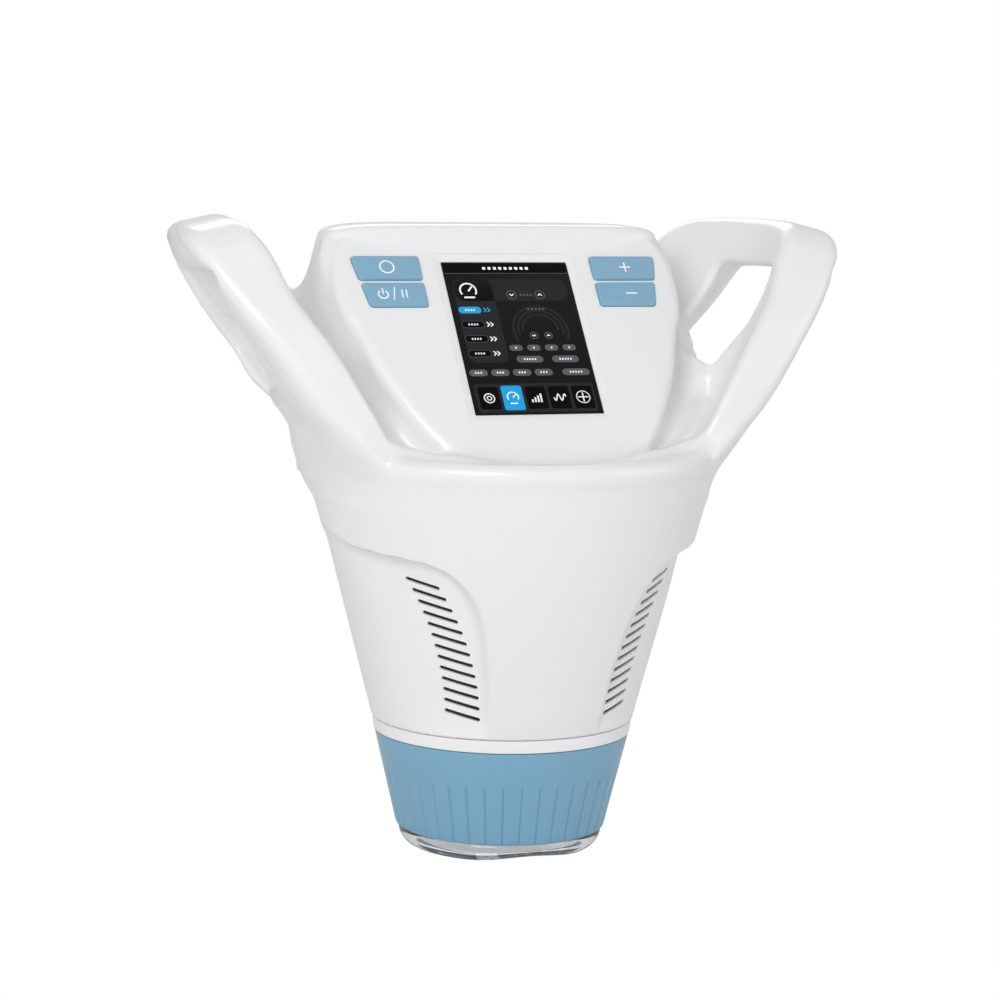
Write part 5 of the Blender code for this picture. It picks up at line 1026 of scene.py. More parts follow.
@dataclass
class Finishes:
    """All finishes of the applicator, built when first used."""

    rows: tuple[Finish, ...] = (
        Finish(
            "white_shell", (0.872, 0.874, 0.878), 0.30, coat=0.25, grain=0.5, relief=0.004, mottle=0.006,
            spread=0.05,
        ),
        Finish("blue_grip", (0.195, 0.405, 0.560), 0.40, coat=0.12, grain=0.28, relief=0.010, mottle=0.02),
        Finish("blue_button", (0.225, 0.430, 0.590), 0.36, coat=0.15, grain=0.3, relief=0.006, mottle=0.01),
        Finish(
            "clear_cup", (0.96, 0.975, 0.985), 0.03, Surface.CLEAR, grain=1.8, relief=0.006, mottle=0.004,
            spread=0.02,
        ),
        Finish("light_lens", (0.93, 0.94, 0.95), 0.22, Surface.CLEAR, grain=0.8, relief=0.02, mottle=0.01),
        Finish(
            "cover_glass", (0.003, 0.003, 0.004), 0.10, coat=0.05, specular=0.2, grain=0.9, relief=0.0008,
            mottle=0.05, spread=0.03,
        ),
        Finish("display_module", (0.25, 0.26, 0.28), 0.38, metallic=0.7, grain=0.25),
        Finish(
            "circuit_board", (0.02, 0.16, 0.07), 0.34, Surface.BOARD, coat=0.4, relief=0.02,
            second_tone=(0.04, 0.28, 0.13),
        ),
        Finish("dark_plastic", (0.030, 0.031, 0.034), 0.52, grain=0.25, relief=0.014, mottle=0.08),
        Finish("grey_plastic", (0.33, 0.34, 0.36), 0.48, grain=0.3, relief=0.012, mottle=0.03),
        Finish(
            "steel", (0.60, 0.60, 0.61), 0.30, Surface.BRUSHED, metallic=1.0, grain=0.22, relief=0.004,
            mottle=0.03,
        ),
        Finish(
            "chrome", (0.80, 0.81, 0.82), 0.07, metallic=1.0, grain=1.2, relief=0.001, mottle=0.01,
            spread=0.04,
        ),
        Finish(
            "aluminium", (0.72, 0.73, 0.75), 0.34, Surface.BRUSHED, metallic=1.0, grain=0.3, mottle=0.02,
        ),
        Finish("brass", (0.72, 0.52, 0.22), 0.24, metallic=1.0, grain=0.4, relief=0.003, mottle=0.04),
        Finish("rubber", (0.026, 0.026, 0.027), 0.68, grain=0.2, relief=0.016, mottle=0.1),
        # Dark sheet behind the vents: painted shade for the housing's dark inside, seen through the slots.
        Finish("painted_vent_shade", (0.018, 0.018, 0.020), 0.75, grain=0.45, relief=0.10, mottle=0.2),
        # White print on the caps, with a faint painted glow that brightens it beyond what the lamps give.
        Finish("print_white_painted_glow", (0.86, 0.87, 0.88), 0.45, grain=0.2, relief=0.003, glow=0.12),
        screen_finish("screen_black", (0.001, 0.001, 0.0015), 0.16, 0.2),
        screen_finish("screen_dark", (0.016, 0.017, 0.019), 0.25, 0.3),
        screen_finish("screen_grey", (0.085, 0.09, 0.095), 0.25, 0.3),
        screen_finish("screen_white", (0.74, 0.76, 0.78), 0.3, 0.35),
        screen_finish("screen_cyan", (0.012, 0.27, 0.56), 0.25, 0.4),
    )
    made: dict[str, bpy.types.Material] = field(default_factory=dict)

    def __getitem__(self, name: str) -> bpy.types.Material:
        """Material by name."""
        if name not in self.made:
            self.made[name] = next(row for row in self.rows if row.name == name).build()
        return self.made[name]


FINISHES = Finishes()


# Mesh helpers in millimetres


def raw_mesh(name: str, spots: Iterable, faces: Iterable) -> bpy.types.Mesh:
    """Mesh in metres from points in millimetres, with its faces as they are given."""
    places = [tuple(float(value) * MM for value in spot) for spot in spots]
    data = bpy.data.meshes.new(name)
    data.from_pydata(places, [], [tuple(face) for face in faces])
    return data


def mesh_from(name: str, spots: Iterable, faces: Iterable, smooth_deg: float = 40.0) -> bpy.types.Mesh:
    """Mesh in metres from points in millimetres.

    Args:
        name: Name of the mesh.
        spots: Points in millimetres.
        faces: Faces as point numbers.
        smooth_deg: Edges sharper than this stay sharp.

    Returns:
        The mesh, with its faces turned outwards.
    """
    data = raw_mesh(name, spots, faces)
    shape = bmesh.new()
    shape.from_mesh(data)
    bmesh.ops.remove_doubles(shape, verts=shape.verts, dist=0.00001)
    bmesh.ops.recalc_face_normals(shape, faces=shape.faces)
    for edge in shape.edges:
        edge.smooth = len(edge.link_faces) == 2 and edge.calc_face_angle(0.0) < math.radians(smooth_deg)
    for face in shape.faces:
        face.smooth = True
    shape.to_mesh(data)
    shape.free()
    return data


def lathe(
    name: str,
    profile: Sequence[tuple[float, float]],
    steps: int = 96,
    warp: Callable[[float, float, float], tuple[float, float]] | None = None,
    smooth_deg: float = 40.0,
) -> bpy.types.Mesh:
    """Revolve a closed profile round Z.

    Args:
        name: Name of the mesh.
        profile: Radius and height of each point, going round the section.
        steps: Number of columns.
        warp: Optional change of radius and height by angle in degrees from the front.
        smooth_deg: Edges sharper than this stay sharp.

    Returns:
        The mesh.
    """
    spots, faces = [], []
    rows = len(profile)
    for step in range(steps):
        angle = math.tau * step / steps
        for radius, height in profile:
            if warp:
                radius, height = warp(math.degrees(angle), radius, height)
            spots.append((radius * math.sin(angle), -radius * math.cos(angle), height))
    for step in range(steps):
        here, there = step * rows, (step + 1) % steps * rows
        for row in range(rows):
            after = (row + 1) % rows
            if profile[row][0] == 0 and profile[after][0] == 0:
                continue
            face = [here + row, here + after, there + after, there + row]
            if profile[row][0] == 0:
                face = face[:3]
            elif profile[after][0] == 0:
                face = [face[0], face[1], face[3]]
            faces.append(face)
    return mesh_from(name, spots, faces, smooth_deg)


def shrunk(outline: Array, inset: float) -> Array:
    """Outline moved inwards by an even distance."""
    before, after = np.roll(outline, 1, 0), np.roll(outline, -1, 0)
    first, second = unit(outline - before), unit(after - outline)
    normals = np.stack((-(first + second)[:, 1], (first + second)[:, 0]), 1)
    area = np.sum(outline[:, 0] * after[:, 1] - after[:, 0] * outline[:, 1])
    turn = 1 if area > 0 else -1
    normals = unit(normals) * turn
    sides = np.stack((-second[:, 1], second[:, 0]), 1)
    bend = np.clip((normals * sides).sum(1) * turn, 0.4, 1.0)
    return outline + normals * (inset / bend)[:, None]


def stacked(
    name: str, levels: Sequence[tuple[Array, float]], place: Matrix,
    ends: tuple[bool, bool] = (True, True),
) -> bpy.types.Mesh:
    """Skin a stack of outlines with equal point counts.

    Args:
        name: Name of the mesh.
        levels: Outline and depth of each level.
        place: Frame that the outlines lie in, in millimetres.
        ends: Whether the first and the last level are closed.

    Returns:
        The mesh.
    """
    count = len(levels[0][0])
    spots = [place @ Vector((point[0], point[1], depth)) for outline, depth in levels for point in outline]
    faces: list[Sequence[int]] = []
    for level in range(len(levels) - 1):
        lower, upper = level * count, (level + 1) * count
        for point in range(count):
            after = (point + 1) % count
            faces.append((lower + point, lower + after, upper + after, upper + point))
    if ends[0]:
        faces.append(range(count))
    if ends[1]:
        faces.append(range((len(levels) - 1) * count, len(levels) * count))
    return mesh_from(name, spots, faces)


def make_piece(
    name: str, data: bpy.types.Mesh, finish: str, body: str, *nodes: str, slot: str = "",
) -> bpy.types.Object:
    """Make an object that rides on a body and may stand for solids.

    Args:
        name: Name of the object.
        data: Its mesh in metres.
        finish: Name of its finish.
        body: Body that it rides on.
        nodes: Solids that it stands for.
        slot: Not used.

    Returns:
        The object.
    """
    item = bpy.data.objects.new(name, data)
    bpy.context.scene.collection.objects.link(item)
    data.materials.append(FINISHES[finish])
    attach(item, body)
    if nodes:
        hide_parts(*nodes)
    return item


# The white shells


@dataclass
class Vents:
    """One column of slanted slots in each side scoop."""

    count: int = 13
    top_z: float = 116.5
    pitch: float = 4.45
    length: float = 15.4
    width: float = 2.1
    lean_deg: float = 13.0
    top_deg: float = 48.0
    bottom_deg: float = 36.5
    curve: float = 2.2
    wall_per_height: float = 1.034
    margin_deg: float = 12.0
    margin_low: float = 1.0
    margin_high: float = 6.0

    def spots(self) -> list[tuple[float, float]]:
        """Angle from the front in degrees and height of each slot."""
        rows = []
        for index in range(self.count):
            share = index / (self.count - 1)
            angle = self.bottom_deg + (self.top_deg - self.bottom_deg) * (1 - share) ** self.curve
            rows.append((angle, self.top_z - self.pitch * index))
        return rows

    def near(self, spots: Array) -> Array:
        """Whether points lie close to the vents."""
        angle = np.degrees(np.arctan2(np.abs(spots[:, 0]), -spots[:, 1]))
        height = spots[:, 2]
        beside = (angle > self.bottom_deg - self.margin_deg) & (angle < self.top_deg + self.margin_deg)
        low, high = self.top_z - self.pitch * self.count - self.margin_low, self.top_z + self.margin_high
        return beside & (height > low) & (height < high)

    def distance(self, spots: Array) -> Array:
        """Distance to the nearest slot, positive outside."""
        angle = np.degrees(np.arctan2(np.abs(spots[:, 0]), -spots[:, 1]))
        reach = np.hypot(spots[:, 0], spots[:, 1])
        lean = math.radians(self.lean_deg)
        nearest = np.full(len(spots), 1e3)
        for middle, height in self.spots():
            across = reach * np.radians(angle - middle)
            rise = (spots[:, 2] - height) * self.wall_per_height
            along = across * math.cos(lean) + rise * math.sin(lean)
            side = rise * math.cos(lean) - across * math.sin(lean)
            over = np.maximum(np.abs(along) - (self.length - self.width) / 2, 0.0)
            nearest = np.minimum(nearest, np.hypot(over, side) - self.width / 2)
        return nearest


@dataclass
class ButtonPad:
    """Four blue caps beside the screen, with their white signs. Sizes are on the panel."""

    caps: tuple[tuple[int, int, str], ...] = (
        (-1, 0, "standby_button"), (-1, 1, "start_pause_button"), (1, 0, "plus_button"),
        (1, 1, "minus_button"),
    )
    inner_x: float = 36.8
    outer_x: float = 65.5
    taper: float = 2.2
    top_s: float = -38.5
    height: float = 11.6
    spacing: float = 1.5
    corner: float = 1.2
    wide_corner: float = 1.6
    proud: float = 1.2
    gap: float = 0.42
    stroke: float = 0.62

    def outline(self, side: int, row: int, grow: float = 0.0) -> Array:
        """Outline of one cap; side is 1 for the right and row 0 is the upper one."""
        top = self.top_s + row * (self.height + self.spacing)
        bottom = top + self.height
        slope = self.taper / self.height
        outer_top = self.outer_x - slope * (top - self.top_s)
        outer_bottom = self.outer_x - slope * (bottom - self.top_s)
        points = [
            (self.inner_x - grow, top - grow), (outer_top + grow, top - grow),
            (outer_bottom + grow, bottom + grow), (self.inner_x - grow, bottom + grow),
        ]
        radii = [self.corner + grow] * 4
        radii[1 + row] = self.wide_corner + grow
        loop = rounded_corners(points, radii)
        return loop * np.array((side, 1.0)) if side > 0 else (loop * np.array((side, 1.0)))[::-1]

    def openings(self) -> list[Outline]:
        """Openings of the two right-hand caps."""
        return [Outline(self.outline(1, row, self.gap), 0.25, 6.0) for row in (0, 1)]

    def signs(self, side: int, row: int) -> "Artwork":
        """Signs of one cap, by its side and row."""
        art = Artwork()
        across = side * (self.inner_x + self.outer_x) / 2
        along = self.top_s + row * (self.height + self.spacing) + self.height / 2
        wide = self.stroke
        if side > 0:
            art.line([(across - 2.4, along), (across + 2.4, along)], wide)
            if row == 0:
                art.line([(across, along - 2.4), (across, along - wide / 2)], wide)
                art.line([(across, along + wide / 2), (across, along + 2.4)], wide)
        elif row == 0:
            art.arc(across, along, 2.9, 0, 360, wide)
        else:
            art.arc(across - 3.9, along + 0.3, 2.0, 35, 325, wide)
            art.line([(across - 3.9, along - 2.6), (across - 3.9, along + 0.2)], wide)
            art.line([(across + 0.2, along + 3.2), (across + 1.3, along - 3.2)], wide * 0.8)
            art.line([(across + 4.1, along - 1.9), (across + 4.1, along + 1.9)], wide)
            art.line([(across + 5.9, along - 1.9), (across + 5.9, along + 1.9)], wide)
        return art

    def build(self) -> None:
        """Make the caps and their signs."""
        place = PANEL.matrix()
        for side, row, name in self.caps:
            loop = self.outline(side, row)
            levels = [(loop, 3.0)]
            for inset, share in ((0.0, 0.0), (0.05, 0.45), (0.22, 0.8), (0.5, 0.96), (1.1, 1.0)):
                levels.append((shrunk(loop, inset), 0.35 - (self.proud + 0.35) * share))
            data = stacked(f"{name}_cap", levels, place, (False, True))
            make_piece(f"{name}_cap", data, "blue_button", f"{name}_cap", name)
            # The signs carry the white print finish with its painted glow.
            signs = self.signs(side, row).mesh(f"{name}_sign", -self.proud - 0.02)
            make_piece(f"{name}_sign", signs, "print_white_painted_glow", f"{name}_cap", slot="blue_button")


class Artwork:
    """Flat shapes on the slanted panel, gathered for one mesh."""

    def __init__(self) -> None:
        """Start with nothing drawn."""
        self.shapes: list[list[tuple[float, float]]] = []

    def box(self, across: float, along: float, width: float, height: float, radius: float = 0.0) -> None:
        """Add a filled box with round corners, placed by its centre."""
        radius = min(max(radius, 0.01), width / 2 - 0.001, height / 2 - 0.001)
        loop = rounded_box_outline(width, height, radius, 5) + np.array((across, along))
        self.shapes.append([tuple(point) for point in loop])

    def frame_box(
        self, across: float, along: float, width: float, height: float, radius: float, line: float,
    ) -> None:
        """Add the border of a box with round corners."""
        middle = np.array((across, along))
        outer = rounded_box_outline(width, height, radius, 5) + middle
        radius = max(radius - line, 0.05)
        inner = rounded_box_outline(width - 2 * line, height - 2 * line, radius, 5) + middle
        self.band(np.append(outer, outer[:1], 0), np.append(inner, inner[:1], 0))

    def band(self, outer: Array, inner: Array) -> None:
        """Add the strip between two paths of equal length."""
        for index in range(len(outer) - 1):
            corners = (outer[index], outer[index + 1], inner[index + 1], inner[index])
            self.shapes.append([tuple(corner) for corner in corners])

    def line(self, points: Sequence[tuple[float, float]], width: float) -> None:
        """Add a drawn line with mitred corners."""
        path = np.array(points, float)
        steps = unit(np.diff(path, axis=0))
        normals = np.stack((-steps[:, 1], steps[:, 0]), 1)
        joints = np.concatenate((normals[:1], unit(normals[:-1] + normals[1:]), normals[-1:]))
        scale = np.ones(len(path))
        scale[1:-1] = 1 / np.maximum((joints[1:-1] * normals[1:]).sum(1), 0.4)
        offset = joints * (scale * width / 2)[:, None]
        self.band(path + offset, path - offset)

    def arc(
        self, across: float, along: float, radius: float, start: float, end: float, width: float,
    ) -> None:
        """Add part of a ring; angles are in degrees clockwise from the top."""
        steps = max(int(abs(end - start) / 12), 4)
        angles = np.radians(np.linspace(start, end, steps + 1))
        edges = (
            np.stack((across + reach * np.sin(angles), along - reach * np.cos(angles)), 1)
            for reach in (radius + width / 2, radius - width / 2)
        )
        self.band(*edges)

    def chevron(self, across: float, along: float, size: float, turn_deg: float, width: float) -> None:
        """Add one chevron; a turn of zero points to the right."""
        cosine, sine = math.cos(math.radians(turn_deg)), math.sin(math.radians(turn_deg))
        points = []
        for x, y in ((-0.35, -0.7), (0.35, 0.0), (-0.35, 0.7)):
            points.append((across + size * (x * cosine - y * sine), along + size * (x * sine + y * cosine)))
        self.line(points, width)

    def mesh(self, name: str, depth: float) -> bpy.types.Mesh:
        """All shapes as one mesh at a depth below the panel's face."""
        spots, faces = [], []
        for shape in self.shapes:
            faces.append(range(len(spots), len(spots) + len(shape)))
            spots.extend(PANEL.point(x, s, depth) for x, s in shape)
        data = raw_mesh(name, spots, faces)
        data.update()
        return data


@dataclass
class Display:
    """Black glass with a generic set of keys, pills, a gauge and five tiles. Sizes are on the panel."""

    width: float = 54.0
    height: float = 74.0
    glass_depth: float = 1.5
    window_grow: float = 3.4
    window_radius: float = 1.6
    bevel_depth: float = 1.35

    def spot(self, u: float, v: float) -> tuple[float, float]:
        """Place on the panel from shares of the width and the height."""
        return (u - 0.5) * self.width, (v - 0.5) * self.height

    def window(self) -> Outline:
        """Opening in the cover's face."""
        grow = 2 * self.window_grow
        return Outline(
            rounded_box_outline(self.width + grow, self.height + grow, self.window_radius), 0.25, 8.0,
        )

    def build_bezel(self) -> None:
        """Make the sloping border between the cover's face and the glass."""
        place = PANEL.matrix()
        edge = self.window_grow
        rows = (
            (edge + 0.15, 2.4), (edge + 0.15, 0.32), (edge - 0.25, 0.22), (0.35, self.bevel_depth),
            (0.1, 1.5), (0.05, 3.0),
        )
        levels = []
        for grow, depth in rows:
            radius = max(self.window_radius - edge + grow, 0.5)
            levels.append(
                (rounded_box_outline(self.width + 2 * grow, self.height + 2 * grow, radius), depth)
            )
        data = stacked("window_bezel", levels, place, (False, False))
        make_piece("window_bezel", data, "white_shell", "housing")

    def build_glass(self) -> None:
        """Make the glass with softened edges."""
        face = self.glass_depth
        levels = []
        for inset, depth in ((0.0, 3.0), (0.0, face + 0.25), (0.08, face + 0.07), (0.25, face)):
            levels.append(
                (rounded_box_outline(self.width - 2 * inset, self.height - 2 * inset, 0.8), depth)
            )
        data = stacked("display_glass", levels, PANEL.matrix(), (True, True))
        make_piece("display_glass", data, "cover_glass", "housing", "screen_glass")

    def key(self, art: dict[str, Artwork], u: float, v: float, radius: float, turn: float) -> None:
        """Add a round key with a chevron."""
        across, along = self.spot(u, v)
        art["screen_grey"].arc(across, along, radius, 0, 360, 0.35)
        art["screen_white"].chevron(across, along, radius * 0.62, turn, 0.45)

    def pill(
        self, art: dict[str, Artwork], low: float, high: float, v: float, height: float, tone: str,
        marks: int,
    ) -> None:
        """Add a pill-shaped key with a row of short bars on it."""
        left, along = self.spot(low, v)
        right, _ = self.spot(high, v)
        middle, width = (left + right) / 2, right - left
        art[tone].box(middle, along, width, height, height / 2)
        art["screen_rim"].frame_box(middle, along, width + 0.3, height + 0.3, height / 2 + 0.15, 0.16)
        for mark in range(marks):
            art["screen_white"].box(middle + (mark - (marks - 1) / 2) * 1.15, along, 0.6, 0.9, 0.2)

    def tile_sign(self, art: Artwork, across: float, along: float, index: int) -> None:
        """Add one plain sign: two rings, a gauge, bars, a wave or a cross in a ring."""
        if index == 0:
            art.arc(across, along, 2.1, 0, 360, 0.45)
            art.arc(across, along, 0.9, 0, 360, 0.4)
        elif index == 1:
            art.arc(across, along - 0.4, 2.3, -120, 120, 0.5)
            art.line([(across, along - 0.2), (across + 1.4, along - 1.6)], 0.45)
            art.box(across, along + 2.6, 3.2, 0.6, 0.2)
        elif index == 2:
            for bar in range(4):
                tall = 1.4 + bar * 0.9
                art.box(across + (bar - 1.5) * 1.25, along + 2.2 - tall / 2, 0.7, tall, 0.2)
        elif index == 3:
            points = [
                (across - 2.6 + step * 0.4, along + 1.5 * math.sin(step * 0.95)) for step in range(14)
            ]
            art.line(points, 0.5)
        else:
            art.line([(across - 2.2, along), (across + 2.2, along)], 0.5)
            art.line([(across, along - 2.2), (across, along - 0.3)], 0.5)
            art.line([(across, along + 0.3), (across, along + 2.2)], 0.5)
            art.arc(across, along, 2.8, 0, 360, 0.35)

    def build_picture(self) -> None:
        """Make the shown picture in thin layers over the glass."""
        art: dict[str, Artwork] = defaultdict(Artwork)
        for draw in (self.draw_panels, self.draw_header, self.draw_rows, self.draw_gauge, self.draw_tiles):
            draw(art)
        layers = (
            ("screen_title", "screen_black", 0.02), ("screen_panel", "screen_dark", 0.02),
            ("screen_gauge", "screen_dark", 0.02), ("screen_rim", "screen_grey", 0.04),
            ("screen_black", "screen_black", 0.05), ("screen_tile", "screen_black", 0.05),
            ("screen_grey", "screen_grey", 0.05), ("screen_cyan", "screen_cyan", 0.05),
            ("screen_cyan_mark", "screen_cyan", 0.07), ("screen_white", "screen_white", 0.08),
        )
        for name, finish, lift in layers:
            make_piece(
                f"{name}_marks", art[name].mesh(name, self.glass_depth - lift), finish, "housing",
                slot="cover_glass",
            )

    def draw_panels(self, art: dict[str, Artwork]) -> None:
        """Draw the dark areas behind the keys."""
        back = art["screen_panel"]
        for low, high, top, bottom, radius in (
            (0.05, 0.955, 0.115, 0.26, 4.6), (0.05, 0.36, 0.115, 0.665, 3.4),
        ):
            left, upper = self.spot(low, top)
            right, lower = self.spot(high, bottom)
            back.box((left + right) / 2, (upper + lower) / 2, right - left, lower - upper, radius)
        left, upper = self.spot(0.035, 0.80)
        right, lower = self.spot(0.965, 0.985)
        back.box(0, (upper + lower) / 2, right - left, lower - upper, 1.6)

    def draw_header(self, art: dict[str, Artwork]) -> None:
        """Draw the title's bar, the round sign and the upper keys."""
        art["screen_title"].box(0, self.spot(0, 0.042)[1], self.width - 1.2, 4.4, 0.2)
        art["screen_rim"].box(0, self.spot(0, 0.075)[1], self.width - 1.2, 0.22, 0.05)
        for mark in range(9):
            art["screen_white"].box((mark - 4) * 2.3, self.spot(0, 0.042)[1], 1.3, 1.3, 0.3)
        across, along = self.spot(0.165, 0.19)
        art["screen_white"].arc(across, along, 3.4, -125, 125, 0.7)
        art["screen_white"].line([(across, along + 0.4), (across + 1.9, along - 1.9)], 0.7)
        art["screen_white"].box(across, along + 3.4, 4.6, 0.8, 0.3)
        self.key(art, 0.50, 0.22, 2.0, 90)
        self.key(art, 0.725, 0.22, 2.0, -90)
        for mark in range(4):
            art["screen_grey"].box(*self.spot(0.5725 + mark * 0.027, 0.22), 0.8, 1.0, 0.2)

    def draw_rows(self, art: dict[str, Artwork]) -> None:
        """Draw the pills at the left with their arrows."""
        for row, v in enumerate((0.32, 0.415, 0.51, 0.605)):
            tone = "screen_cyan" if row == 0 else "screen_black"
            self.pill(art, 0.055, 0.232, v, 3.1, tone, 4)
            across, along = self.spot(0.275, v)
            arrows = art["screen_cyan_mark" if row == 0 else "screen_white"]
            for shift in (-0.75, 0.75):
                arrows.chevron(across + shift, along, 1.5, 0, 0.5)

    def draw_gauge(self, art: dict[str, Artwork]) -> None:
        """Draw the rings of the gauge and the pills below it."""
        across, along = self.spot(0.665, 0.455)
        for ring, radius in enumerate((11.6, 9.6, 7.6)):
            art["screen_gauge"].arc(across, along, radius, -115 + ring * 12, 115 - ring * 12, 1.1)
        for mark in range(5):
            art["screen_grey"].box(across + (mark - 2) * 1.6, self.spot(0, 0.315)[1], 1.0, 0.9, 0.2)
        self.key(art, 0.60, 0.49, 1.55, 90)
        self.key(art, 0.715, 0.49, 1.55, -90)
        for index, u in enumerate((0.435, 0.575, 0.715, 0.855)):
            self.pill(art, u - 0.05, u + 0.05, 0.57, 2.6, "screen_grey", 1)
        for low, high, v, marks in (
            (0.42, 0.625, 0.645, 5), (0.70, 0.905, 0.645, 5), (0.027, 0.165, 0.73, 3),
            (0.197, 0.335, 0.73, 3), (0.367, 0.505, 0.73, 3), (0.537, 0.675, 0.73, 3),
            (0.755, 0.965, 0.73, 5),
        ):
            self.pill(art, low, high, v, 2.9, "screen_grey", marks)

    def draw_tiles(self, art: dict[str, Artwork]) -> None:
        """Draw the five tiles at the foot."""
        for index in range(5):
            across, along = self.spot(0.135 + index * 0.183, 0.893)
            tone = "screen_cyan" if index == 1 else "screen_tile"
            art[tone].box(across, along, 8.6, 11.6 if index == 1 else 10.6, 0.9)
            self.tile_sign(art["screen_white"], across, along, index)


def on_panel(outline: Outline, side: int = 1) -> Field:
    """Field of an outline on the slanted panel; a side of -1 mirrors it."""

    def measure(places: Array) -> Array:
        """Distance to the outline."""
        across, along, _ = PANEL.flat(places)
        return outline(side * across, along)

    return measure


@dataclass
class WhiteShells:
    """Cover and housing skins, with their openings and rounded lips.

    Each lip is the size of its round and how far the edge reaches in.
    """

    form: WhiteForm
    display: Display
    pad: ButtonPad
    vents: Vents
    step: float = 1.25
    lattice_high: tuple[float, float, float] = (143, 90, 261)
    lattice_low: tuple[float, float, float] = (0, -90, 50)
    seam: float = 0.15
    seam_lip: tuple[float, float] = (0.18, 1.6)
    window_lip: tuple[float, float] = (0.25, 1.2)
    cap_lip: tuple[float, float] = (0.3, 1.8)
    screw_lip: tuple[float, float] = (0.25, 3.2)
    vent_lip: tuple[float, float] = (0.22, 1.1)
    inlet_lip: tuple[float, float] = (0.4, 3.0)
    face_depth: float = 1.2
    face_half_width: float = 70.0
    face_top: float = -47.0
    face_bottom: float = 45.0
    inlet_z: float = 105.0
    inlet_boss: float = 18.0
    inlet_face: float = 72.0
    inlet_back: float = 50.0
    inlet_hole: float = 12.4
    inlet_fillet: float = 4.0
    inlet_zone: float = 10.0
    inlet_zone_y: float = 40.0
    screw_hole: float = 3.4
    screw_zone: float = 7.0
    shade_sheet_depth: float = 1.45

    def distance(self, spots: Array) -> Array:
        """Distance to the whole white form with the boss of the rear inlet."""
        solid = self.form.distance(spots)
        x, y, z = spots[..., 0], spots[..., 1], spots[..., 2]
        round_wall = np.hypot(x, z - self.inlet_z) - self.inlet_boss
        boss = soft_max(round_wall, y - self.inlet_face, 1.6)
        return soft_min(solid, soft_max(boss, self.inlet_back - y, 1.0), self.inlet_fillet)

    def lattice(self, x: Array, y: Array, z: Array) -> Array:
        """Distance on broadcast coordinate arrays."""
        grid = np.broadcast_arrays(x, y, z)
        return self.distance(np.stack(grid, -1))

    def screws(self) -> list[tuple[Array, Array]]:
        """Centre and outward direction of each cover screw, on the form's surface."""
        rows = []
        for name in numbered("cover_screw_left", 2) + numbered("cover_screw_right", 2):
            low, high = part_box(name)
            centre = (np.array(low) + np.array(high)) / 2 / MM
            placed = settle(self.distance, centre[None], 12, 3.0)
            rows.append((placed[0], unit(gradient(self.distance, placed))[0]))
        return rows

    def near_panel(self, spots: Array) -> Array:
        """Whether points lie on the slanted panel's face."""
        across, along, depth = PANEL.flat(spots)
        beside = (np.abs(depth) < self.face_depth) & (np.abs(across) < self.face_half_width)
        return beside & (along > self.face_top) & (along < self.face_bottom)

    def opening(self, skin: Skin, measure: Field, near: Region, lip: tuple[float, float]) -> None:
        """Cut an opening where the measure is below zero and turn its edge in by a lip."""
        skin.lip(skin.cut(measure, 0.0, self.distance, near), measure, *lip)

    def seam_cut(self, skin: Skin, measure: Field) -> None:
        """Cut a shell along the parting lines and turn its edge in."""
        skin.lip(skin.cut(measure, self.seam, self.distance), measure, *self.seam_lip)

    def build(self) -> None:
        """Make both shells and the dark sheets of painted shade behind the vents."""
        log.info("skinning the white form")
        spots, quads = half_net(self.lattice, self.step, self.lattice_high, self.lattice_low)
        spots = settle(self.distance, spots, 4)
        skin = Skin(spots, quads, unit(gradient(self.distance, spots)))
        skin.refine(self.near_panel, self.distance)
        for _ in range(2):
            skin.refine(self.vents.near, self.distance)
        cover, housing = skin.copy(), skin.copy()
        self.seam_cut(cover, self.form.parting)
        self.seam_cut(housing, lambda places: -self.form.parting(places))
        self.open_panel(cover)
        self.open_housing(housing)
        for screw, axis in self.screws():
            self.open_screw(housing, screw, axis)
        make_piece("upper_shell", cover.mesh("upper_shell"), "white_shell", "housing", "top_cover")
        make_piece("lower_shell", housing.mesh("lower_shell"), "white_shell", "housing", "main_housing")
        self.build_shade_sheets()

    def open_panel(self, cover: Skin) -> None:
        """Cut the screen's window and the openings of the caps."""
        self.opening(cover, on_panel(self.display.window()), self.near_panel, self.window_lip)
        for side in (-1, 1):
            for outline in self.pad.openings():
                self.opening(cover, on_panel(outline, side), self.near_panel, self.cap_lip)

    def open_screw(self, housing: Skin, screw: Array, axis: Array) -> None:
        """Cut the round hole of one cover screw."""

        def hole(places: Array) -> Array:
            """Distance to the hole's wall."""
            offset = places - screw
            return np.linalg.norm(offset - (offset @ axis)[..., None] * axis, axis=-1) - self.screw_hole

        def near(places: Array) -> Array:
            """Whether points lie close to the screw."""
            return np.linalg.norm(places - screw, axis=1) < self.screw_zone

        self.opening(housing, hole, near, self.screw_lip)

    def open_housing(self, housing: Skin) -> None:
        """Cut the vents and the hole of the rear inlet."""
        self.opening(housing, self.vents.distance, self.vents.near, self.vent_lip)

        def inlet(places: Array) -> Array:
            """Distance to the hole's wall."""
            return np.hypot(places[..., 0], places[..., 2] - self.inlet_z) - self.inlet_hole

        def near(places: Array) -> Array:
            """Whether points lie at the back, close to the hole."""
            return (places[:, 1] > self.inlet_zone_y) & (inlet(places) < self.inlet_zone)

        self.opening(housing, inlet, near, self.inlet_lip)

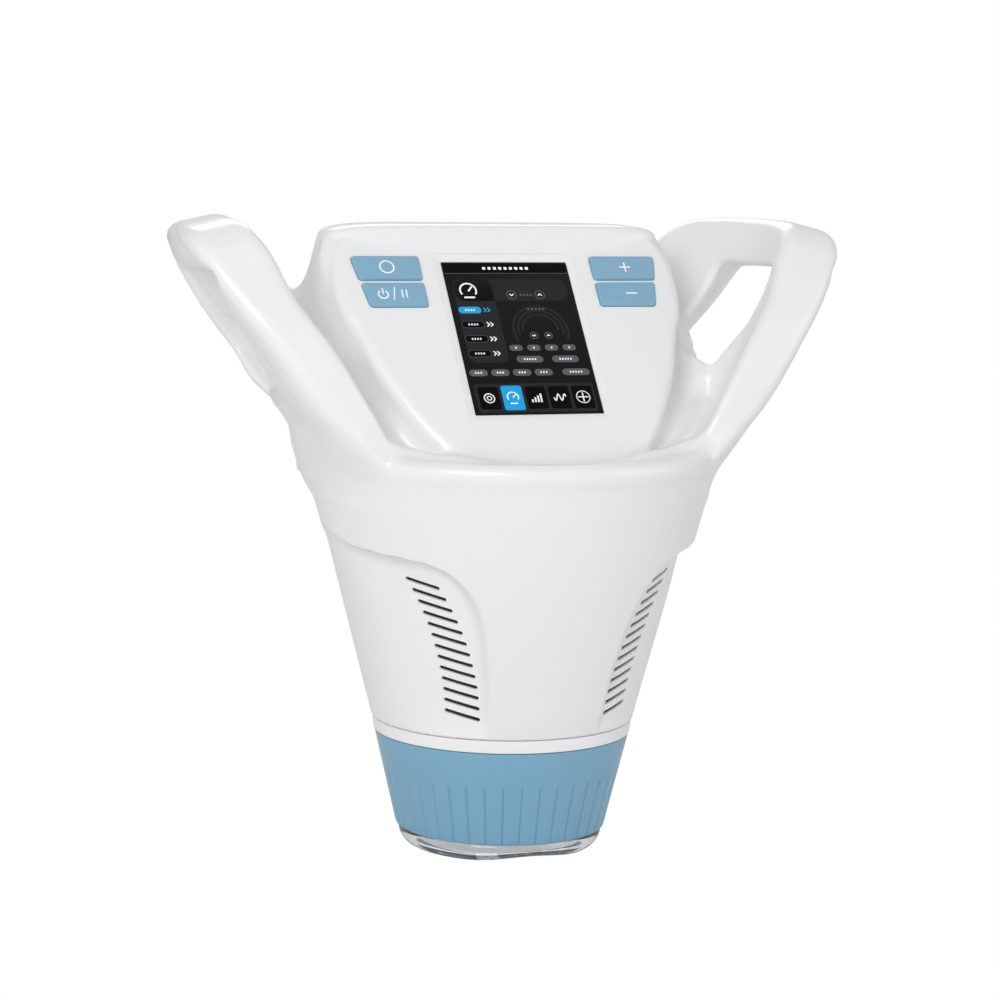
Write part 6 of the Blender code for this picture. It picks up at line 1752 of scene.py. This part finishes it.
    def build_shade_sheets(self) -> None:
        """Make a dark sheet behind each column of vents, as painted shade for the dark inside of the housing.
        """
        vents, columns, rows = self.vents, 15, 25
        angles = np.linspace(vents.bottom_deg - 10, vents.top_deg + 9, columns)
        heights = np.linspace(vents.top_z + 4, vents.top_z - vents.pitch * vents.count, rows)
        for side, name in ((-1, "left"), (1, "right")):
            spots, faces = [], []
            for height in heights:
                for angle in angles:
                    level = np.array(height)
                    wall = self.form.cone_radius(level) + self.form.relief(np.array(angle), level)
                    reach = float(wall) - self.shade_sheet_depth
                    turn = math.radians(angle)
                    spots.append((side * reach * math.sin(turn), -reach * math.cos(turn), height))
            for row in range(rows - 1):
                for column in range(columns - 1):
                    corner = row * columns + column
                    faces.append((corner, corner + 1, corner + 1 + columns, corner + columns))
            # Painted shade: a dark sheet set inside the housing so that the slots read dark.
            data = mesh_from(f"vent_shade_sheet_{name}", spots, faces)
            make_piece(data.name, data, "painted_vent_shade", "housing", slot="dark_plastic")


@dataclass
class GripCollar:
    """Blue collar with ribs, and the white trim ring above it."""

    low_z: float = 8.1
    high_z: float = 47.6
    low_radius: float = 43.0
    high_radius: float = 52.4
    ribs: int = 40
    rib_top_z: float = 33.6
    rib_depth: float = 0.55
    groove_share: float = 0.17
    edge: float = 0.8
    inner_low: float = 38.8
    inner_high: float = 42.0
    step_z: float = 24.1
    neck_radius: float = 45.5
    neck_top_z: float = 52.6
    face_depth: float = 1.6
    groove_fade: float = 1.6
    groove_slant: float = 2.2
    crown: float = 0.12
    band: Points = (
        (50.9, 47.9), (52.45, 47.9), (52.75, 48.1), (53.3, 52.6), (53.25, 52.95), (53.0, 53.1),
        (50.9, 53.1),
    )

    def radius(self, height: float) -> float:
        """Radius of the plain cone."""
        rise = (self.high_radius - self.low_radius) * (height - self.low_z)
        return self.low_radius + rise / (self.high_z - self.low_z)

    def warp(self, angle: float, radius: float, height: float) -> tuple[float, float]:
        """Press the grooves between the ribs into the outer face."""
        if radius < self.radius(height) - self.face_depth or height > self.rib_top_z + 1:
            return radius, height
        turn = angle / 360 * self.ribs % 1.0
        share = abs(turn - 0.5) * 2
        inside = max(0.0, 1 - (1 - share) / self.groove_share)
        top = self.rib_top_z - self.groove_slant * (1 - share) / self.groove_share * 0.5
        fade = min(max((top - height) / self.groove_fade, 0.0), 1.0)
        crown = self.crown * (1 - share) ** 0.5
        return radius - fade * (self.rib_depth * (inside**0.7) - crown + self.crown), height

    def build(self) -> None:
        """Make the collar and the ring."""
        outer = [(self.radius(self.low_z) - self.edge, self.low_z)]
        for turn in (30, 60, 90):
            height = self.low_z + self.edge * (1 - math.cos(math.radians(turn)))
            back = self.edge * (1 - math.sin(math.radians(turn)))
            outer.append((self.radius(height) - back, height))
        heights = [12, 18, 24, 28, 30, 31, 31.6, 32.2, 32.8, 33.4, 34.2, 40, self.high_z - 0.5]
        outer += [(self.radius(height), height) for height in heights]
        top = self.radius(self.high_z)
        outer += [(top - 0.15, self.high_z - 0.12), (top - 0.5, self.high_z)]
        inner = [
            (self.neck_radius, self.high_z), (self.neck_radius, self.neck_top_z),
            (self.inner_high, self.neck_top_z), (self.inner_high, self.step_z),
            (self.inner_low, self.step_z), (self.inner_low, self.low_z),
        ]
        data = lathe("ribbed_collar", outer + inner, self.ribs * 12, self.warp, 50)
        make_piece("ribbed_collar", data, "blue_grip", "treatment_head", "collar")
        make_piece("trim_band", lathe("trim_band", self.band, 192), "white_shell", "housing", "trim_ring")


@dataclass
class VacuumCup:
    """Clear cup with an arched rim, and the rollers and cap inside it."""

    wall: Points = (
        (38.5, 28.0), (38.5, 17.8), (36.6, 17.8), (36.6, 15.0), (38.5, 15.0), (38.5, 7.8), (41.4, 7.8),
        (41.75, 7.5), (41.8, 6.4), (41.6, 5.0), (41.1, 3.6), (40.3, 2.4), (39.2, 1.3), (37.9, 0.5),
        (36.4, 0.08), (35.4, 0.0), (34.5, 0.1), (34.0, 0.5), (33.7, 1.2), (33.6, 3.0), (33.6, 14.0),
        (33.6, 28.0),
    )
    dome: Points = (
        (0.0, 13.5), (4.5, 13.62), (6.6, 14.1), (7.5, 14.9), (7.8, 15.8), (7.8, 17.7), (0.0, 17.7),
    )
    arch_rise: float = 2.0
    arch_half_width: float = 25.0
    arch_top_z: float = 6.0
    roller_radius: float = 6.0
    roller_length: float = 14.0
    roller_centre: float = 21.5
    roller_z: float = 17.0
    roller_bore: float = 1.75
    roller_edge: float = 1.6
    roller_groove: float = 0.25

    def warp(self, angle: float, radius: float, height: float) -> tuple[float, float]:
        """Lift the rim in front and at the back."""
        across = radius * math.sin(math.radians(angle))
        if abs(across) < self.arch_half_width and height < self.arch_top_z:
            share = math.cos(math.pi / 2 * across / self.arch_half_width) ** 2
            height += self.arch_rise * share * (1 - height / self.arch_top_z)
        return radius, height

    def roller_half(self) -> list[tuple[float, float]]:
        """Profile of half a roller, from its end to its middle, with one groove."""
        half, radius, edge = self.roller_length / 2, self.roller_radius, self.roller_edge
        profile = [(self.roller_bore, -half), (radius - edge, -half)]
        for turn in (0.4, 0.8, 1.2, 1.57):
            reach = radius - edge + edge * math.sin(turn)
            profile.append((reach, -half + edge - edge * math.cos(turn)))
        floor = radius - self.roller_groove
        return profile + [(radius, -2.0), (floor, -1.7), (floor, -1.3), (radius, -1.0)]

    def build(self) -> None:
        """Make the cup, the rollers and the hub cap."""
        data = lathe("clear_cup", self.wall, 180, self.warp, 50)
        make_piece("clear_cup", data, "clear_cup", "treatment_head", "vacuum_cup")
        profile = self.roller_half()
        profile = profile + [(reach, -height) for reach, height in reversed(profile)]
        for index in range(4):
            angle = math.radians(45 + 90 * index)
            axis = Vector((math.sin(angle), -math.cos(angle), 0.0))
            side = Vector((0.0, 0.0, 1.0)).cross(axis)
            place = Matrix.Identity(4)
            place.col[0][:3], place.col[1][:3], place.col[2][:3] = side, (0.0, 0.0, 1.0), axis
            place.col[3][:3] = axis * self.roller_centre * MM + Vector((0.0, 0.0, self.roller_z * MM))
            data = lathe(f"roller_{index + 1}_electrode", profile, 64, None, 30)
            data.transform(place)
            make_piece(data.name, data, "chrome", f"roller_{index + 1}", f"rf_roller_{index + 1}")
        make_piece("hub_cap_dome", lathe("hub_cap_dome", self.dome, 72), "chrome", "rotor", "hub_cap")


@dataclass
class RearInlet:
    """Round inlet at the back for the hose and cable of the base unit."""

    height: float = 105.0
    face: float = 72.3
    end: float = 84.9
    floor: float = 71.9
    back: float = 51.5
    tail: float = 47.5
    bore_radius: float = 9.5
    flange_radius: float = 16.0
    neck_radius: float = 12.0
    tail_radius: float = 3.5
    knurls: int = 36
    knurl_depth: float = 0.45
    knurl_margin: float = 1.4

    def knurl(self, angle: float, radius: float, height: float) -> tuple[float, float]:
        """Press the knurls into the flange's outer face."""
        low, high = self.face + self.knurl_margin, self.end - self.knurl_margin
        if radius > self.flange_radius - 0.1 and low < height < high:
            press = (0.5 + 0.5 * math.cos(math.radians(angle * self.knurls))) ** 2
            radius -= self.knurl_depth * press
        return radius, height

    def build(self) -> None:
        """Make the inlet with a knurled flange."""
        bore, flange, face, end = self.bore_radius, self.flange_radius, self.face, self.end
        profile = [
            (0.0, self.floor), (bore, self.floor), (bore, end - 0.5), (10.0, end), (14.9, end),
            (15.7, end - 0.4), (flange, end - 1.2), (flange, end - 1.7), (flange, end - 6.0),
            (flange, face + 1.7), (flange, face + 1.2), (15.7, face + 0.3), (15.0, face),
            (self.neck_radius, face), (self.neck_radius, self.back), (self.tail_radius, self.back),
            (self.tail_radius, self.tail), (0.0, self.tail),
        ]
        data = lathe("inlet_socket_body", profile, 216, self.knurl, 35)
        lay = Matrix.Rotation(math.radians(-90), 4, "X")
        data.transform(Matrix.Translation((0.0, 0.0, self.height * MM)) @ lay)
        make_piece("inlet_socket_body", data, "grey_plastic", "housing", "cable_inlet")


@dataclass
class InnerParts:
    """Finishes of the solids that are shown as they are."""

    rows: tuple[tuple[str, tuple[str, ...]], ...] = (
        ("steel", numbered("cover_screw_left", 2) + numbered("cover_screw_right", 2)),
        ("steel", numbered("board_screw", 4) + numbered("roller_axle", 4)),
        ("steel", ("drive_shaft", "drive_motor", "fan_bracket")),
        ("display_module", ("lcd_module",)),
        ("circuit_board", ("control_board", "power_board", "light_board")),
        ("dark_plastic", numbered("tact_switch", 4) + ("bayonet_ring", "cup_lock_ring", "brush_block")),
        ("dark_plastic", ("fan_frame", "fan_impeller", "inlet_nut", "contact_insert")),
        ("grey_plastic", ("chamber_bulkhead", "vacuum_port", "gearbox")),
        ("aluminium", ("heat_sink",)),
        ("brass", ("shaft_bearing", "slip_ring")),
        ("rubber", ("chamber_gasket", "cup_seal", "vacuum_hose")),
        ("light_lens", ("light_lens",)),
        ("white_shell", ("roller_carrier",)),
    )

    def build(self) -> None:
        """Put the finishes on the solids."""
        for finish, names in self.rows:
            for name in names:
                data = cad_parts[name].data
                data.materials.clear()
                data.materials.append(FINISHES[finish])


# Studio and camera


@dataclass(frozen=True)
class PhotoCamera:
    """Camera at the place that the photograph was taken from. Angles are in degrees."""

    azimuth: float = -19.68
    elevation: float = 7.65
    roll: float = 1.13
    lens: float = 104.4
    distance: float = 1184.0
    target_z: float = 141.96
    target_across: float = -2.38
    sensor: float = 36.0
    clip: tuple[float, float] = (0.05, 20.0)

    def build(self) -> None:
        """Make the camera and use it."""
        turn, rise, roll = (math.radians(value) for value in (self.azimuth, self.elevation, self.roll))
        back = Vector((math.sin(turn) * math.cos(rise), -math.cos(turn) * math.cos(rise), math.sin(rise)))
        right = Vector((math.cos(turn), math.sin(turn), 0.0))
        up = back.cross(right)
        across = right * math.cos(roll) + up * math.sin(roll)
        above = up * math.cos(roll) - right * math.sin(roll)
        place = Matrix.Identity(4)
        place.col[0][:3], place.col[1][:3], place.col[2][:3] = across, above, back
        target = Vector((0.0, 0.0, self.target_z)) + right * self.target_across
        place.col[3][:3] = (target + back * self.distance) * MM
        data = bpy.data.cameras.new("photo_camera")
        data.lens, data.sensor_width = self.lens, self.sensor
        data.clip_start, data.clip_end = self.clip
        item = bpy.data.objects.new("photo_camera", data)
        item.matrix_world = place
        bpy.context.scene.collection.objects.link(item)
        bpy.context.scene.camera = item


@dataclass(frozen=True)
class Lamp:
    """A soft square lamp aimed at the object. Places are in metres."""

    name: str
    place: tuple[float, float, float]
    size: float
    power: float
    aim_z: float = 0.15

    def build(self) -> None:
        """Make the lamp."""
        data = bpy.data.lights.new(self.name, "AREA")
        data.shape, data.size, data.energy = "SQUARE", self.size, self.power
        item = bpy.data.objects.new(self.name, data)
        aim = Vector((0.0, 0.0, self.aim_z)) - Vector(self.place)
        turn = aim.to_track_quat("-Z", "Y").to_matrix().to_4x4()
        item.matrix_world = Matrix.Translation(self.place) @ turn
        bpy.context.scene.collection.objects.link(item)


@dataclass
class Studio:
    """Pale floor, plain surroundings and soft lamps."""

    surround: float = 0.52
    shown_white: float = 1.0
    through_share: float = 0.4
    floor_half: float = 6.0
    floor_z: float = -0.0004
    lamps: tuple[Lamp, ...] = (
        Lamp("key_lamp", (-1.2, -1.6, 0.95), 1.0, 19.5),
        Lamp("fill_lamp", (1.5, -1.0, 0.6), 1.2, 5.0),
        Lamp("rear_lamp", (0.3, 1.4, 1.3), 1.0, 7.0),
    )

    def seen(self, graph: Graph) -> Value:
        """Share of shown white: all of it straight from the camera, less through clear pieces."""
        rays = graph.node("ShaderNodeLightPath", {}, {}).outputs
        seen, through = Value(graph, rays["Is Camera Ray"]), Value(graph, rays["Is Transmission Ray"])
        return graph.add("ShaderNodeMath", {"operation": "MAXIMUM"}, {0: seen, 1: through * self.through_share})

    def build(self) -> None:
        """Make the surroundings, the floor and the lamps."""
        scene = bpy.context.scene
        scene.view_settings.view_transform = "Standard"
        world = bpy.data.worlds.new("studio")
        scene.world = world
        world.use_nodes = True
        graph = Graph(world.node_tree)
        plain = graph.add("ShaderNodeBackground", {}, {0: WHITE, 1: self.surround})
        shown = graph.add("ShaderNodeBackground", {}, {0: WHITE, 1: self.shown_white})
        mixed = graph.add("ShaderNodeMixShader", {}, {0: self.seen(graph), 1: plain, 2: shown})
        graph.node("ShaderNodeOutputWorld", {}, {0: mixed})
        half, level = self.floor_half, self.floor_z
        spots = [(-half, -half, level), (half, -half, level), (half, half, level), (-half, half, level)]
        data = bpy.data.meshes.new("floor")
        data.from_pydata(spots, [], [(0, 1, 2, 3)])
        made = bpy.data.materials.new("pale_floor")
        made.use_nodes = True
        graph = Graph(made.node_tree)
        place = graph.add("ShaderNodeTexCoord", {}, {}, "Object")
        grain = graph.noise(place, 9.0, 5.0)
        tone = graph.blend(grain, (0.78, 0.78, 0.785), (0.82, 0.82, 0.82))
        inputs = {"Base Color": tone, "Roughness": grain * 0.1 + 0.6}
        paper = graph.add("ShaderNodeBsdfPrincipled", {}, inputs)
        bright = graph.add("ShaderNodeEmission", {}, {0: WHITE, 1: self.shown_white})
        mixed = graph.add("ShaderNodeMixShader", {}, {0: self.seen(graph), 1: paper, 2: bright})
        graph.node("ShaderNodeOutputMaterial", {}, {0: mixed})
        data.materials.append(made)
        floor = bpy.data.objects.new("floor", data)
        scene.collection.objects.link(floor)
        for lamp in self.lamps:
            lamp.build()


def main() -> None:
    """Build the scene."""
    logging.basicConfig(level=logging.INFO, format="%(name)s: %(message)s")
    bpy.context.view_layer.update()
    PhotoCamera().build()
    Studio().build()
    display, pad = Display(), ButtonPad()
    WhiteShells(WhiteForm(), display, pad, Vents()).build()
    display.build_bezel()
    display.build_glass()
    display.build_picture()
    pad.build()
    GripCollar().build()
    VacuumCup().build()
    RearInlet().build()
    InnerParts().build()


if __name__ == "__main__":
    main()
